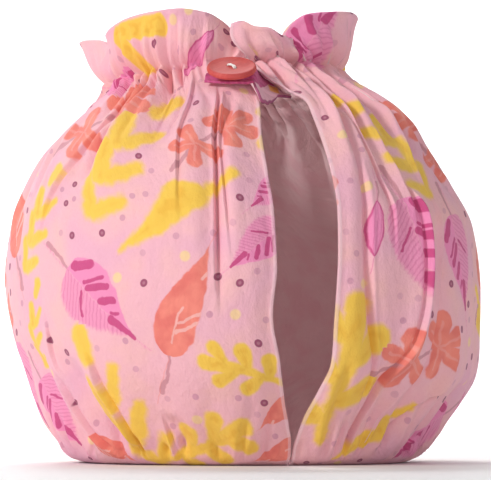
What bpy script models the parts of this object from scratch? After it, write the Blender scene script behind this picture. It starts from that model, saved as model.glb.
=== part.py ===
"""Gathered tea cosy: two panels, a frill, a front slit closed by a button and a tab, and a rear opening.

Metres, +Z up. The origin is on the floor, at the middle of the cosy. The front slit faces -Y.
Azimuths are in degrees round +Z: 0 at the front slit (-Y), growing towards +X, 180 at the back seam.
The cloth is two panels sewn together under the slit and at the back. The tables are in millimetres.
"""

import math
from collections import namedtuple

import bmesh
import bpy
import numpy as np
from mathutils import Matrix, Vector

MM = 0.001

# Cloth
CLOTH_THICKNESS = 1.8
SEAM_HALF_GAP = 0.35  # each panel stops this far short of a shared seam
ACROSS_STEPS = 52  # faces across one panel, from the slit to the back seam
BODY_STEPS = 24  # faces up the body, from the hem to the neck
FRILL_STEPS = 5  # faces up the frill, from the neck to its rim

# Button and tab
BUTTON_DIAMETER = 17.2
BUTTON_THICKNESS = 2.7
BUTTON_AZIMUTH = -16.1
BUTTON_RADIUS = 56.7
BUTTON_HEIGHT = 135.9
BUTTON_SWAY = -1.8
BUTTON_TILT = 57.0  # degrees from horizontal to the button's face normal
BUTTON_TURN = -46.0  # degrees by which the line through its two holes is turned on that face
HOLE_DIAMETER = 1.9
HOLE_SPACING = 3.4
THREAD_DIAMETER = 1.1
BUTTONHOLE = (5.8, 2.4)
TAB_THICKNESS = 1.2
TAB_STEPS = 34

# The cosy's outline from the hem up to the neck. sway is how far the middle of that section stands
# off the axis, towards SWAY_AZIMUTH. The last columns are in degrees: how far the slit's two edges
# stand from azimuth 0, and how far the rear opening's edges stand from 180.
SWAY_AZIMUTH = 75.0
Section = namedtuple("Section", "name radius height sway slit_left slit_right opening")
SECTIONS = (
    Section("hem edge", 48.0, 0.0, 0.0, 0.0, 0.0, 0.0),
    Section("hem flat", 58.5, 0.0, 0.0, 0.0, 0.0, 0.0),
    Section("foot", 64.6, 1.8, 0.0, 0.0, 0.0, 0.0),
    Section("foot bend", 67.6, 6.0, 0.0, -0.4, 0.2, 0.0),
    Section("low side", 73.4, 14.0, 0.3, -2.6, 1.2, 0.0),
    Section("side", 78.6, 23.0, 2.0, -5.6, 2.8, 0.0),
    Section("slit low", 82.9, 32.0, 3.1, -7.7, 4.0, 4.5),
    Section("opening low", 86.0, 47.0, 1.6, -8.5, 5.6, 10.0),
    Section("belly", 87.5, 66.0, 0.2, -6.8, 7.2, 12.5),
    Section("opening high", 85.4, 85.0, 0.0, -7.0, 8.0, 10.5),
    Section("upper side", 80.0, 98.5, -0.6, -7.5, 8.6, 5.5),
    Section("shoulder", 72.4, 111.5, -1.4, -7.6, 9.2, 0.0),
    Section("high shoulder", 61.6, 125.0, -0.8, -7.8, 6.0, 0.0),
    Section("under neck", 52.0, 133.6, -0.8, -9.5, -3.0, 0.0),
    Section("gathered band", 47.2, 138.0, -2.6, -9.0, -3.5, 0.0),
    Section("neck", 43.4, 142.4, -5.8, -7.5, -2.5, 0.0),
)
NECK_TILT = 2.4  # how much higher the neck stands towards SWAY_AZIMUTH, and lower opposite it
NECK_TILT_FROM = 128.0
RIM_SWAY = -4.0

# Long folds in the cloth: a trough (depth over 0) or a ridge (under 0) along a curve through three
# places, each an azimuth and a height. half_width is the distance over which it fades.
Fold = namedtuple("Fold", "top_az top_z mid_az mid_z low_az low_z depth half_width")
FOLDS = (
    Fold(-30.0, 140.0, -24.5, 100.0, -23.0, 58.0, 3.4, 3.6),
    Fold(-22.0, 138.0, -19.0, 104.0, -18.0, 70.0, -1.6, 4.0),
    Fold(-46.0, 139.0, -40.0, 126.0, -37.0, 108.0, 2.6, 4.6),
    Fold(-66.0, 138.0, -62.0, 118.0, -60.0, 92.0, 2.2, 6.0),
    Fold(-92.0, 130.0, -86.0, 104.0, -82.0, 74.0, 2.0, 6.0),
    Fold(-80.0, 44.0, -76.0, 22.0, -66.0, 3.0, 2.8, 5.4),
    Fold(-64.0, 36.0, -58.0, 16.0, -46.0, 2.0, 3.4, 5.0),
    Fold(-34.0, 16.0, -32.0, 8.0, -30.0, 2.0, 2.2, 4.0),
    Fold(50.0, 136.0, 45.0, 114.0, 40.0, 92.0, 3.6, 4.6),
    Fold(19.0, 104.0, 18.0, 70.0, 20.0, 32.0, 2.0, 3.6),
    Fold(47.0, 94.0, 52.0, 66.0, 44.0, 34.0, -3.0, 5.0),
    Fold(58.0, 76.0, 61.0, 52.0, 46.0, 18.0, 3.0, 5.0),
    Fold(42.0, 40.0, 33.0, 20.0, 19.0, 3.0, 3.2, 5.0),
    Fold(60.0, 30.0, 50.0, 15.0, 38.0, 2.0, 3.0, 5.0),
    Fold(84.0, 126.0, 80.0, 100.0, 78.0, 70.0, 2.2, 6.4),
    Fold(112.0, 136.0, 108.0, 112.0, 106.0, 84.0, 2.8, 6.0),
    Fold(140.0, 134.0, 142.0, 108.0, 146.0, 88.0, 2.4, 5.4),
    Fold(118.0, 40.0, 112.0, 20.0, 104.0, 3.0, 3.0, 5.8),
    Fold(150.0, 34.0, 146.0, 16.0, 138.0, 3.0, 2.8, 5.4),
    Fold(-122.0, 136.0, -118.0, 112.0, -116.0, 80.0, 2.8, 6.0),
    Fold(-148.0, 135.0, -150.0, 112.0, -154.0, 90.0, 2.4, 5.6),
    Fold(-112.0, 36.0, -108.0, 18.0, -100.0, 3.0, 3.0, 5.8),
    Fold(-146.0, 38.0, -142.0, 18.0, -134.0, 3.0, 2.8, 5.6),
)

# Gathers all the way round: how many, how deep at their strongest, the height of that place, and
# the height over which they fade.
Gather = namedtuple("Gather", "count depth height reach phase")
GATHERS = (
    Gather(27, 1.5, 139.0, 15.0, 0.7),
    Gather(14, 1.3, 122.0, 26.0, 2.1),
    Gather(22, 1.1, 6.0, 16.0, 1.3),
    Gather(11, 1.0, 26.0, 24.0, 0.2),
)

# The frill's rim, from the slit to the back seam: the azimuth at the neck that each place rises
# from, and the rim's azimuth, radius and height there.
Lobe = namedtuple("Lobe", "neck_az rim_az radius height")
LEFT_FRILL = (
    Lobe(-7.5, -12.0, 30.0, 148.5),
    Lobe(-15.0, -18.0, 38.0, 153.0),
    Lobe(-26.0, -25.0, 48.0, 156.5),
    Lobe(-36.0, -34.0, 51.5, 157.0),
    Lobe(-48.0, -45.0, 52.5, 155.2),
    Lobe(-62.0, -59.0, 53.0, 153.8),
    Lobe(-77.0, -72.0, 53.0, 152.0),
    Lobe(-91.0, -84.0, 45.5, 149.0),
    Lobe(-101.0, -97.0, 47.5, 150.0),
    Lobe(-114.0, -110.0, 57.5, 154.0),
    Lobe(-128.0, -126.0, 55.0, 158.5),
    Lobe(-138.0, -138.0, 43.5, 157.0),
    Lobe(-152.0, -154.0, 55.0, 161.0),
    Lobe(-166.0, -168.0, 55.0, 160.0),
    Lobe(-180.0, -180.0, 46.0, 156.0),
)
RIGHT_FRILL = (
    Lobe(-2.5, -14.5, 45.0, 153.4),
    Lobe(2.0, -9.0, 46.0, 154.4),
    Lobe(7.0, -3.0, 47.0, 152.4),
    Lobe(12.0, 2.5, 48.0, 152.0),
    Lobe(19.0, 10.0, 47.0, 149.6),
    Lobe(24.5, 16.0, 43.5, 148.0),
    Lobe(28.5, 13.0, 37.5, 150.0),
    Lobe(33.0, 17.0, 40.0, 155.0),
    Lobe(40.0, 24.0, 45.0, 159.0),
    Lobe(50.0, 36.0, 48.5, 160.8),
    Lobe(61.0, 50.0, 50.5, 162.3),
    Lobe(68.0, 58.0, 49.5, 161.6),
    Lobe(79.0, 72.0, 41.0, 157.0),
    Lobe(89.0, 85.0, 39.0, 155.0),
    Lobe(104.0, 103.0, 49.0, 160.0),
    Lobe(124.0, 122.0, 55.0, 162.0),
    Lobe(138.0, 138.0, 45.0, 157.5),
    Lobe(158.0, 157.0, 55.0, 161.5),
    Lobe(180.0, 180.0, 46.0, 156.0),
)

# The tab, from under the button across the slit to behind the right panel: how far each place stands
# out from the body, and how far the tab reaches up and down the slope from its middle line.
Strip = namedtuple("Strip", "azimuth out up down")
TAB = (
    Strip(-26.0, 1.9, 3.0, 1.6),
    Strip(-20.0, 1.6, 3.6, 2.2),
    Strip(-14.0, 1.5, 4.4, 2.4),
    Strip(-10.8, 1.6, 4.8, 2.6),
    Strip(-9.2, 2.1, 4.8, 2.6),
    Strip(-8.1, 1.5, 4.6, 7.6),
    Strip(-6.8, -0.9, 4.4, 10.0),
    Strip(-4.2, -3.5, 4.0, 10.8),
    Strip(-1.0, -5.0, 3.8, 9.8),
    Strip(2.0, -5.8, 3.8, 6.0),
    Strip(8.0, -6.3, 3.6, 3.0),
)
TAB_MIDDLE = (54.6, 131.3)  # radius and height of the tab's middle line on the body
TAB_SWAY = -1.4
TAB_SLOPE = 43.0  # degrees by which the body rises inwards there

FRILL_FLARE = 1.2  # how far the frill curves in between the neck and its rim
EDGE_ROLL = 2.2  # how far a cut edge turns inwards, so that a seam looks pulled in
EDGE_ROLL_WIDTH = 4.5
EDGE_ROLL_TOP = (118.0, 134.0)  # between these heights the turned-in edge flattens out
BUTTON_PRESS = 12.0  # distance round the button within which the gathers lie flat
PRESSED_AT = (-14.0, 57.8, 134.4)  # azimuth, radius and height of the middle of that flat place
FLAT_REACH = 6.0  # height over which folds grow from nothing at the flat foot
CENTRE = (0.0, 0.0)  # moves the whole cosy so that the origin is at the middle of its box


def smooth_curve(keys, values, at):
    """A curve through the given values that doesn't overshoot, read at the places asked for."""
    keys, values, at = (np.asarray(v, float) for v in (keys, values, at))
    gaps = np.diff(keys)
    slopes = np.diff(values) / gaps
    tangents = np.zeros(len(keys))
    tangents[0], tangents[-1] = slopes[0], slopes[-1]
    same_way = slopes[:-1] * slopes[1:] > 0
    pairs = slopes[:-1] + slopes[1:]
    tangents[1:-1][same_way] = (2 * slopes[:-1] * slopes[1:])[same_way] / pairs[same_way]
    k = np.clip(np.searchsorted(keys, at, side="right") - 1, 0, len(gaps) - 1)
    t = np.clip((at - keys[k]) / gaps[k], 0.0, 1.0)
    rise = values[k + 1] - values[k]
    start, end = tangents[k] * gaps[k], tangents[k + 1] * gaps[k]
    return values[k] + t * start + t**2 * (3 * rise - 2 * start - end) + t**3 * (start + end - 2 * rise)


def smooth_step(low, high, x):
    """0 below low, 1 above high, and a smooth rise between."""
    t = np.clip((np.asarray(x, float) - low) / (high - low), 0.0, 1.0)
    return t * t * (3 - 2 * t)


def section_lengths():
    """How far each section lies along the cloth from the hem edge."""
    places = np.array([(s.radius, s.height) for s in SECTIONS])
    return np.concatenate([[0.0], np.cumsum(np.linalg.norm(np.diff(places, axis=0), axis=1))])


def body_outline(lengths):
    """Radius, height and outward normal (radial and up) of the smooth body at these lengths."""
    keys = section_lengths()
    radii = [s.radius for s in SECTIONS]
    heights = [s.height for s in SECTIONS]
    step = 0.5
    radius, height = smooth_curve(keys, radii, lengths), smooth_curve(keys, heights, lengths)
    above, below = np.minimum(lengths + step, keys[-1]), np.maximum(lengths - step, 0.0)
    run = smooth_curve(keys, radii, above) - smooth_curve(keys, radii, below)
    rise = smooth_curve(keys, heights, above) - smooth_curve(keys, heights, below)
    size = np.hypot(run, rise)
    return radius, height, rise / size, -run / size


def fold_depth(azimuth, radius, height):
    """How far the folds and gathers push the cloth out (over 0) or in at each place."""
    out = np.zeros_like(azimuth)
    for fold in FOLDS:
        span = (height - fold.low_z) / (fold.top_z - fold.low_z)
        keys = (fold.low_z, fold.mid_z, fold.top_z)
        line = smooth_curve(keys, (fold.low_az, fold.mid_az, fold.top_az), height)
        aside = np.radians(azimuth - line) * radius
        along = smooth_step(-0.12, 0.25, span) * (1 - smooth_step(0.75, 1.12, span))
        out -= fold.depth * along * np.exp(-((aside / fold.half_width) ** 2))
    turn = np.radians(azimuth)
    uneven = turn + 0.05 * np.sin(3 * turn + 1.0) + 0.03 * np.sin(7 * turn + 0.4)
    for gather in GATHERS:
        near = np.exp(-(((height - gather.height) / gather.reach) ** 2))
        strength = 0.75 + 0.25 * np.sin(2 * turn + gather.phase)
        out += gather.depth * near * strength * np.sin(gather.count * uneven + gather.phase)
    return out * smooth_step(0.0, FLAT_REACH, height)


def pressed(azimuth, radius, height):
    """How much the button holds the cloth down at each place, from 0 to 1."""
    middle_az, middle_radius, middle_height = PRESSED_AT
    aside = np.radians(azimuth - middle_az) * radius
    away = np.sqrt(aside**2 + (radius - middle_radius) ** 2 + (height - middle_height) ** 2)
    return 1 - smooth_step(0.6 * BUTTON_PRESS, 1.4 * BUTTON_PRESS, away)


def rim_curve(lobes, neck_az):
    """Plan position and height of the frill's rim above each azimuth at the neck."""
    turn = np.radians([lobe.rim_az for lobe in lobes])
    radii = np.array([lobe.radius for lobe in lobes])
    keys = [lobe.neck_az for lobe in lobes]
    columns = (radii * np.sin(turn), -radii * np.cos(turn), [lobe.height for lobe in lobes])
    if keys[0] > keys[-1]:
        keys, columns = keys[::-1], [c[::-1] for c in columns]
    return np.stack([smooth_curve(keys, c, neck_az) for c in columns], axis=-1)


def panel_points(side, lobes):
    """The panel's outer surface as rows of points, from the hem up: side is -1 left, 1 right."""
    keys = section_lengths()
    lengths = np.linspace(0.0, keys[-1], BODY_STEPS + 1)
    radius, height, normal_out, normal_up = (v[:, None] for v in body_outline(lengths))
    slit = [s.slit_left if side < 0 else s.slit_right for s in SECTIONS]
    spare = np.degrees(SEAM_HALF_GAP / radius)
    front = smooth_curve(keys, slit, lengths)[:, None] + side * spare
    back = side * (180.0 - smooth_curve(keys, [s.opening for s in SECTIONS], lengths)[:, None] - spare)
    share = np.linspace(0.0, 1.0, ACROSS_STEPS + 1)[None, :]
    azimuth = front + (back - front) * share
    width = np.abs(np.radians(back - front)) * radius
    roll = np.zeros_like(azimuth)
    for distance in (share * width, (1 - share) * width):
        roll += EDGE_ROLL * np.exp(-((distance / EDGE_ROLL_WIDTH) ** 2))
    from_edge = np.minimum(share, 1 - share) * width
    out = fold_depth(azimuth, radius, height) * smooth_step(0.0, EDGE_ROLL_WIDTH, from_edge)
    out *= 1 - pressed(azimuth, radius, height)
    out -= roll * smooth_step(0.0, FLAT_REACH, height) * (1 - smooth_step(*EDGE_ROLL_TOP, height))
    turn = np.radians(azimuth)
    across = radius + out * normal_out
    body = np.stack(
        [across * np.sin(turn), -across * np.cos(turn), np.maximum(height + out * normal_up, 0.0)],
        axis=-1,
    )
    raised = math.radians(1.0) * (azimuth - SWAY_AZIMUTH)
    body[..., 2] += NECK_TILT * np.cos(raised) * smooth_step(NECK_TILT_FROM, SECTIONS[-1].height, height)
    neck, rim = body[-1], rim_curve(lobes, azimuth[-1])
    away = rim[:, :2] + neck[:, :2]
    away /= np.linalg.norm(away, axis=1, keepdims=True)
    rows = [body]
    for step in range(1, FRILL_STEPS + 1):
        up = step / FRILL_STEPS
        level = neck * (1 - up) + rim * up
        level[:, :2] -= away * FRILL_FLARE * math.sin(math.pi * up)
        rows.append(level[None])
    points = np.concatenate(rows)
    sway = smooth_curve(keys, [s.sway for s in SECTIONS], lengths)
    sway = np.append(sway, np.linspace(sway[-1], RIM_SWAY, FRILL_STEPS + 1)[1:])
    points[..., :2] += sway[:, None, None] * sway_towards() + CENTRE
    return points


def sway_towards():
    turn = math.radians(SWAY_AZIMUTH)
    return np.array([math.sin(turn), -math.cos(turn)])


def new_material(name, colour, roughness):
    material = bpy.data.materials.new(name)
    material.use_nodes = True
    shader = material.node_tree.nodes["Principled BSDF"]
    shader.inputs["Base Color"].default_value = (*colour, 1.0)
    shader.inputs["Roughness"].default_value = roughness
    shader.inputs["Metallic"].default_value = 0.0
    return material


def add_object(name, mesh, material, collection):
    made = bpy.data.objects.new(name, mesh)
    made.data.materials.append(material)
    collection.objects.link(made)
    return made


def grid_object(name, points, material, collection):
    """A sheet whose rows of points are given in millimetres: a grid primitive, bent to shape."""
    rows, columns = points.shape[:2]
    net = bmesh.new()
    bmesh.ops.create_grid(net, x_segments=columns - 1, y_segments=rows - 1, size=0.5)
    flat = points.reshape(-1, 3) * MM
    for vertex in net.verts:
        column = round((vertex.co.x + 0.5) * (columns - 1))
        row = round((vertex.co.y + 0.5) * (rows - 1))
        vertex.co = flat[row * columns + column]
    mesh = bpy.data.meshes.new(name)
    net.to_mesh(mesh)
    net.free()
    mesh.shade_smooth()
    return add_object(name, mesh, material, collection)


def thicken(sheet, thickness, offset):
    solid = sheet.modifiers.new("Thickness", "SOLIDIFY")
    solid.thickness = thickness * MM
    solid.offset = offset
    solid.use_even_offset = False


def make_panel(name, side, lobes, material, collection):
    points = panel_points(side, lobes)
    if side < 0:
        points = points[:, ::-1]
    panel = grid_object(name, points, material, collection)
    thicken(panel, CLOTH_THICKNESS, -1.0)
    return panel


def tab_points():
    """The tab's middle surface as rows of points, from its upper edge down."""
    keys = [strip.azimuth for strip in TAB]
    azimuth = np.linspace(keys[0], keys[-1], TAB_STEPS + 1)[None, :]
    out, up, down = (smooth_curve(keys, [s[i] for s in TAB], azimuth) for i in (1, 2, 3))
    along = up - np.linspace(0.0, 1.0, 5)[:, None] * (up + down)
    slope, turn = math.radians(TAB_SLOPE), np.radians(azimuth)
    radius = TAB_MIDDLE[0] + out * math.sin(slope) - along * math.cos(slope)
    height = TAB_MIDDLE[1] + out * math.cos(slope) + along * math.sin(slope)
    middle = TAB_SWAY * sway_towards() + CENTRE
    x, y = middle[0] + radius * np.sin(turn), middle[1] - radius * np.cos(turn)
    return np.stack([x, y, height + 0.0 * turn], axis=-1)


def make_tab(material, collection, cutters):
    """The cloth tab that the button holds, with a buttonhole for the sewing thread."""
    tab = grid_object("button_tab", tab_points()[::-1], material, collection)
    thicken(tab, TAB_THICKNESS, 0.0)
    bpy.ops.mesh.primitive_cube_add(size=1.0)
    cutter = bpy.context.object
    cutter.name = "buttonhole_cutter"
    cutter.scale = (BUTTONHOLE[0] * MM, BUTTONHOLE[1] * MM, 16 * MM)
    cutter.matrix_world = button_frame() @ cutter.matrix_basis
    hide_cutter(cutter, cutters)
    cut_from(tab, cutter)
    return tab


def button_frame():
    """Where the button sits: its x runs through both holes, its z out of its face."""
    turn, tilt = math.radians(BUTTON_AZIMUTH), math.radians(BUTTON_TILT)
    outward = Vector((math.sin(turn), -math.cos(turn), 0.0))
    face = outward * math.cos(tilt) + Vector((0.0, 0.0, math.sin(tilt)))
    along = Vector((math.cos(turn), math.sin(turn), 0.0))
    middle = BUTTON_SWAY * sway_towards() + CENTRE
    place = outward * BUTTON_RADIUS + Vector((*middle, BUTTON_HEIGHT))
    turned = Matrix((along, face.cross(along), face)).transposed().to_4x4()
    return Matrix.Translation(place * MM) @ turned @ Matrix.Rotation(math.radians(BUTTON_TURN), 4, "Z")


def make_button(material, collection, cutters):
    """A turned disc with a raised rim and a domed back, and two sewing holes cut through it."""
    half, rim = BUTTON_DIAMETER / 2, BUTTON_THICKNESS / 2
    profile = [(0.0, 0.55 * rim), (0.62 * half, 0.6 * rim), (0.8 * half, 0.95 * rim), (0.92 * half, rim)]
    profile += [(0.99 * half, 0.6 * rim), (half, 0.0), (0.95 * half, -0.55 * rim)]
    profile += [(0.75 * half, -0.9 * rim), (0.4 * half, -rim), (0.0, -rim)]
    mesh = bpy.data.meshes.new("button")
    edges = [(i, i + 1) for i in range(len(profile) - 1)]
    mesh.from_pydata([(x * MM, 0.0, z * MM) for x, z in profile], edges, [])
    button = add_object("button", mesh, material, collection)
    turned = button.modifiers.new("Turn", "SCREW")
    turned.steps = turned.render_steps = 28
    turned.use_merge_vertices = True
    turned.merge_threshold = 0.00005
    turned.use_smooth_shade = True
    for sign in (-1, 1):
        bpy.ops.mesh.primitive_cylinder_add(
            vertices=12,
            radius=HOLE_DIAMETER / 2 * MM,
            depth=3 * BUTTON_THICKNESS * MM,
            location=(sign * HOLE_SPACING / 2 * MM, 0.0, 0.0),
        )
        cutter = bpy.context.object
        cutter.name = f"hole_cutter_{'right' if sign > 0 else 'left'}"
        cutter.matrix_world = button_frame() @ cutter.matrix_basis
        hide_cutter(cutter, cutters)
        cut_from(button, cutter)
    button.matrix_world = button_frame()
    return button


def hide_cutter(cutter, cutters):
    for held in list(cutter.users_collection):
        held.objects.unlink(cutter)
    cutters.objects.link(cutter)
    cutter.hide_render = True
    cutter.display_type = "WIRE"


def cut_from(thing, cutter):
    cut = thing.modifiers.new("Hole", "BOOLEAN")
    cut.operation = "DIFFERENCE"
    cut.solver = "EXACT"
    cut.object = cutter


def make_thread(material, collection):
    """The sewing thread: one bar over the button, going down through both holes."""
    top = BUTTON_THICKNESS / 2 * 0.55 + THREAD_DIAMETER * 0.75
    side, foot = HOLE_SPACING / 2, -BUTTON_THICKNESS / 2 - 0.9
    route = [(-side, foot), (-side, top - 0.8), (-side * 0.72, top), (side * 0.72, top)]
    route += [(side, top - 0.8), (side, foot)]
    line = bpy.data.curves.new("button_thread", "CURVE")
    line.dimensions = "3D"
    line.bevel_depth = THREAD_DIAMETER / 2 * MM
    line.bevel_resolution = 2
    line.use_fill_caps = True
    spline = line.splines.new("POLY")
    spline.points.add(len(route) - 1)
    for point, (x, z) in zip(spline.points, route):
        point.co = (x * MM, 0.0, z * MM, 1.0)
    thread = bpy.data.objects.new("button_thread", line)
    thread.data.materials.append(material)
    thread.matrix_world = button_frame()
    collection.objects.link(thread)
    return thread


def clear_scene():
    for thing in list(bpy.data.objects):
        bpy.data.objects.remove(thing)


def new_collection(name):
    made = bpy.data.collections.new(name)
    bpy.context.scene.collection.children.link(made)
    return made


def main():
    clear_scene()
    cosy, cutters = new_collection("tea_cosy"), new_collection("cutters")
    cotton = new_material("printed_cotton", (0.86, 0.49, 0.55), 0.85)
    coral = new_material("coral_button", (0.74, 0.16, 0.12), 0.35)
    white = new_material("white_thread", (0.9, 0.88, 0.85), 0.7)
    make_panel("left_panel", -1, LEFT_FRILL, cotton, cosy)
    make_panel("right_panel", 1, RIGHT_FRILL, cotton, cosy)
    make_button(coral, cosy, cutters)
    make_thread(white, cosy)
    make_tab(cotton, cosy, cutters)


main()
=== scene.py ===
# %% [markdown]
# # A gathered tea cosy
# The looks of a printed cotton tea cosy, built on the fixed frame that its CAD model gives. The real
# thing is two panels of printed cotton, sewn together under the front slit and at the back, drawn in at
# the hem and at the neck, and held shut above the slit by a button and a cloth tab.
# Every length in the tables is in millimetres. The slit faces -Y, and azimuths grow from it towards +X.

import math
from collections import namedtuple
from functools import partial

import bpy
import numpy as np
from mathutils import Matrix, Vector


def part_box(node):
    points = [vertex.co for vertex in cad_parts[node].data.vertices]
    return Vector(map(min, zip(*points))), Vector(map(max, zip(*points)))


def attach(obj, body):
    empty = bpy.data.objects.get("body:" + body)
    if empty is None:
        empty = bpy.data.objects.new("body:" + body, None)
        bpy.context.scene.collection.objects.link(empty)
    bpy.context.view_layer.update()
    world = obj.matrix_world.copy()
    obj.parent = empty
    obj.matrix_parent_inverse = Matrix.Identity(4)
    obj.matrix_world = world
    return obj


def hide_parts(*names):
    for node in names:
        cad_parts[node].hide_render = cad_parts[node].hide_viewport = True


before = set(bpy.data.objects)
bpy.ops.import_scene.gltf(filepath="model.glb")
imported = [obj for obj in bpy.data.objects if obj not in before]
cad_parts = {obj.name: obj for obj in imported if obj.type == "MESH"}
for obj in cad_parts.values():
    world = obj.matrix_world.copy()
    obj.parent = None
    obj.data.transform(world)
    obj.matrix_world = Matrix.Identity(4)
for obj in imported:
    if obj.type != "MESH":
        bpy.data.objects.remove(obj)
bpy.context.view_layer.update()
MM = 0.001
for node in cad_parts:
    low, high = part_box(node)
    print(node, [round((b - a) * 1000, 1) for a, b in zip(low, high)], "mm")

# %% [markdown]
# ## Shader maths as Python expressions
# A print like this is a few hundred small sums per point. Wiring them one node at a time is slow to write
# and hard to read, so one small class wraps a socket and gives it the usual operators. Each operator adds
# one Math node. A single method adds any other node: its settings first, because some of them change which
# sockets it has, and then its inputs.

# %% A socket with operators
def math_node(operation, swapped=False):
    """A method that adds one Math node, with its own value as the first input, or as the last if swapped."""

    def method(self, *others):
        inputs = [*others, self] if swapped else [self, *others]
        return self.shader.add("ShaderNodeMath", {"operation": operation}, inputs)

    return method


class Value:
    """A number, vector or colour in a material. Arithmetic on it adds Math nodes."""

    __add__ = __radd__ = math_node("ADD")
    __mul__ = __rmul__ = math_node("MULTIPLY")
    __sub__ = math_node("SUBTRACT")
    __rsub__ = math_node("SUBTRACT", swapped=True)
    __truediv__ = math_node("DIVIDE")
    __pow__ = math_node("POWER")
    __abs__ = math_node("ABSOLUTE")
    least = math_node("MINIMUM")
    most = math_node("MAXIMUM")
    sin = math_node("SINE")
    fract = math_node("FRACT")
    within = math_node("COMPARE")

    def __init__(self, shader, socket):
        self.shader, self.socket = shader, socket

    def is_kind(self, number):
        """1 where this is the whole number given, and 0 elsewhere."""
        return self.within(float(number), 0.4)

    def rise(self, low, high):
        """0 below low, 1 above high and smooth between; falls instead where low is over high."""
        if low > high:
            return 1.0 - self.rise(high, low)
        settings = {"interpolation_type": "SMOOTHSTEP"}
        return self.shader.add("ShaderNodeMapRange", settings, [self, low, high, 0.0, 1.0])

    def parts(self):
        split = self.shader.node("ShaderNodeSeparateXYZ", {}, [self])
        return [Value(self.shader, output) for output in split.outputs]


class Shader:
    """A material with its Principled shader, and what it takes to build the colours that feed it."""

    def __init__(self, name, **constants):
        self.material = bpy.data.materials.new(name)
        self.material.use_nodes = True
        self.tree = self.material.node_tree
        self.surface = self.tree.nodes["Principled BSDF"]
        for socket, number in constants.items():
            self.surface.inputs[socket.replace("_", " ")].default_value = number

    def node(self, kind, settings, inputs):
        """Adds a node: its settings first, then its inputs, by place or by name."""
        made = self.tree.nodes.new(kind)
        for name, setting in settings.items():
            setattr(made, name, setting)
        pairs = inputs.items() if isinstance(inputs, dict) else enumerate(inputs)
        for key, given in pairs:
            if isinstance(given, Value):
                self.tree.links.new(given.socket, made.inputs[key])
            else:
                made.inputs[key].default_value = given
        return made

    def add(self, kind, settings, inputs, output=0):
        return Value(self, self.node(kind, settings, inputs).outputs[output])

    def feed(self, name, value):
        self.tree.links.new(value.socket, self.surface.inputs[name])

    def uv(self, name):
        return self.add("ShaderNodeUVMap", {"uv_map": name}, []).parts()[:2]

    def place(self):
        """Where a point is in its object's own space, in metres."""
        return self.add("ShaderNodeTexCoord", {}, [], output=3).parts()

    def vector(self, x, y, z=0.0):
        return self.add("ShaderNodeCombineXYZ", {}, [x, y, z])

    def vector_math(self, operation, *inputs, output=0):
        inputs = {3: inputs[1], 0: inputs[0]} if operation == "SCALE" else dict(enumerate(inputs))
        return self.add("ShaderNodeVectorMath", {"operation": operation}, inputs, output)

    def noise(self, place, scale, detail=2.0, roughness=0.5):
        inputs = {"Vector": place, "Scale": scale, "Detail": detail, "Roughness": roughness}
        return self.add("ShaderNodeTexNoise", {}, inputs)

    def mix(self, factor, a, b):
        """Colour a where factor is 0, colour b where it is 1."""
        inputs = {0: factor, 6: colour(a), 7: colour(b)}
        return self.add("ShaderNodeMix", {"data_type": "RGBA"}, inputs, output=2)


def colour(given):
    """An sRGB colour, given from 0 to 255, as the linear one that a shader takes. This is the standard's
    curve without its straight part, which only very dark colours need."""
    if isinstance(given, Value):
        return given
    return (*(((c / 255 + 0.055) / 1.055) ** 2.4 for c in given), 1.0)


def facing(azimuth):
    """Unit vectors outwards from the axis at this azimuth, and level to the right of that."""
    turn = math.radians(azimuth)
    return Vector((math.sin(turn), -math.cos(turn), 0)), Vector((math.cos(turn), math.sin(turn), 0))


def add_object(name, data):
    """A new object in the scene for a mesh, a curve, a light or a camera."""
    made = bpy.data.objects.new(name, data)
    bpy.context.scene.collection.objects.link(made)
    return made


print("shader tools ready")

# %% [markdown]
# ## The shape of the cosy
# The frame's solids follow one outline and a table of folds. The fine cloth follows tables of the same
# kind, read from the photograph more closely, so it stands within a few millimetres of the solids, and it
# adds what a solid of a few thousand faces can't hold. The tables come first: the outline with the edges of
# the slit and of the rear opening, the long folds, the gathers that go all the way round, and the rim of
# the frill.

# %% The outline, the folds and the frill
def rows_of(kind, *rows):
    """A table's rows of numbers as records of this kind, which have names for their columns."""
    return [kind(*row) for row in rows]


# The cosy's outline from the hem up to the neck. sway is how far the middle of that section stands
# off the axis, towards SWAY_AZIMUTH. The last columns are in degrees: how far the slit's two edges
# stand from azimuth 0, and how far the rear opening's edges stand from 180.
SWAY_AZIMUTH = 75.0
Section = namedtuple("Section", "name radius height sway slit_left slit_right opening")
SECTIONS = rows_of(
    Section,
    ("hem edge", 46.5, 0, 1.5, 0, 0, 0),
    ("hem flat", 56.5, 0, 1.5, 0, 0, 0),
    ("foot", 63, 1.8, 0.9, 0, 0, 0),
    ("foot bend", 67.1, 6, 1, -0.4, 0.2, 0),
    ("low side", 72.2, 14, 1.2, -2.6, 1.2, 0),
    ("side", 77.4, 23, 2.5, -5.6, 2.8, 0),
    ("slit low", 81.9, 32, 3.7, -7.7, 4, 4.5),
    ("opening low", 85.4, 47, 1.9, -8.5, 5.6, 10),
    ("belly", 87.3, 66, 0.4, -6.8, 7.2, 12.5),
    ("opening high", 85.4, 85, 0, -7, 8, 10.5),
    ("upper side", 80, 98.5, -0.6, -7.5, 8.6, 5.5),
    ("shoulder", 72.4, 111.5, -1.4, -7.6, 9.2, 0),
    ("high shoulder", 60.9, 125, -0.6, -7.8, 8.2, 0),
    ("under neck", 50.9, 133.6, -2, -9.5, -0.8, 0),
    ("gathered band", 46, 138, -4.2, -9, -3.2, 0),
    ("neck", 43.4, 142.4, -5.8, -7.5, -2.5, 0),
)
NECK_HEIGHT = SECTIONS[-1].height
NECK_TILT = 2.4  # how much higher the neck stands towards SWAY_AZIMUTH, and lower opposite it
NECK_TILT_FROM = 128.0  # the height at which that starts
RIM_SWAY = -4.0
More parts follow.
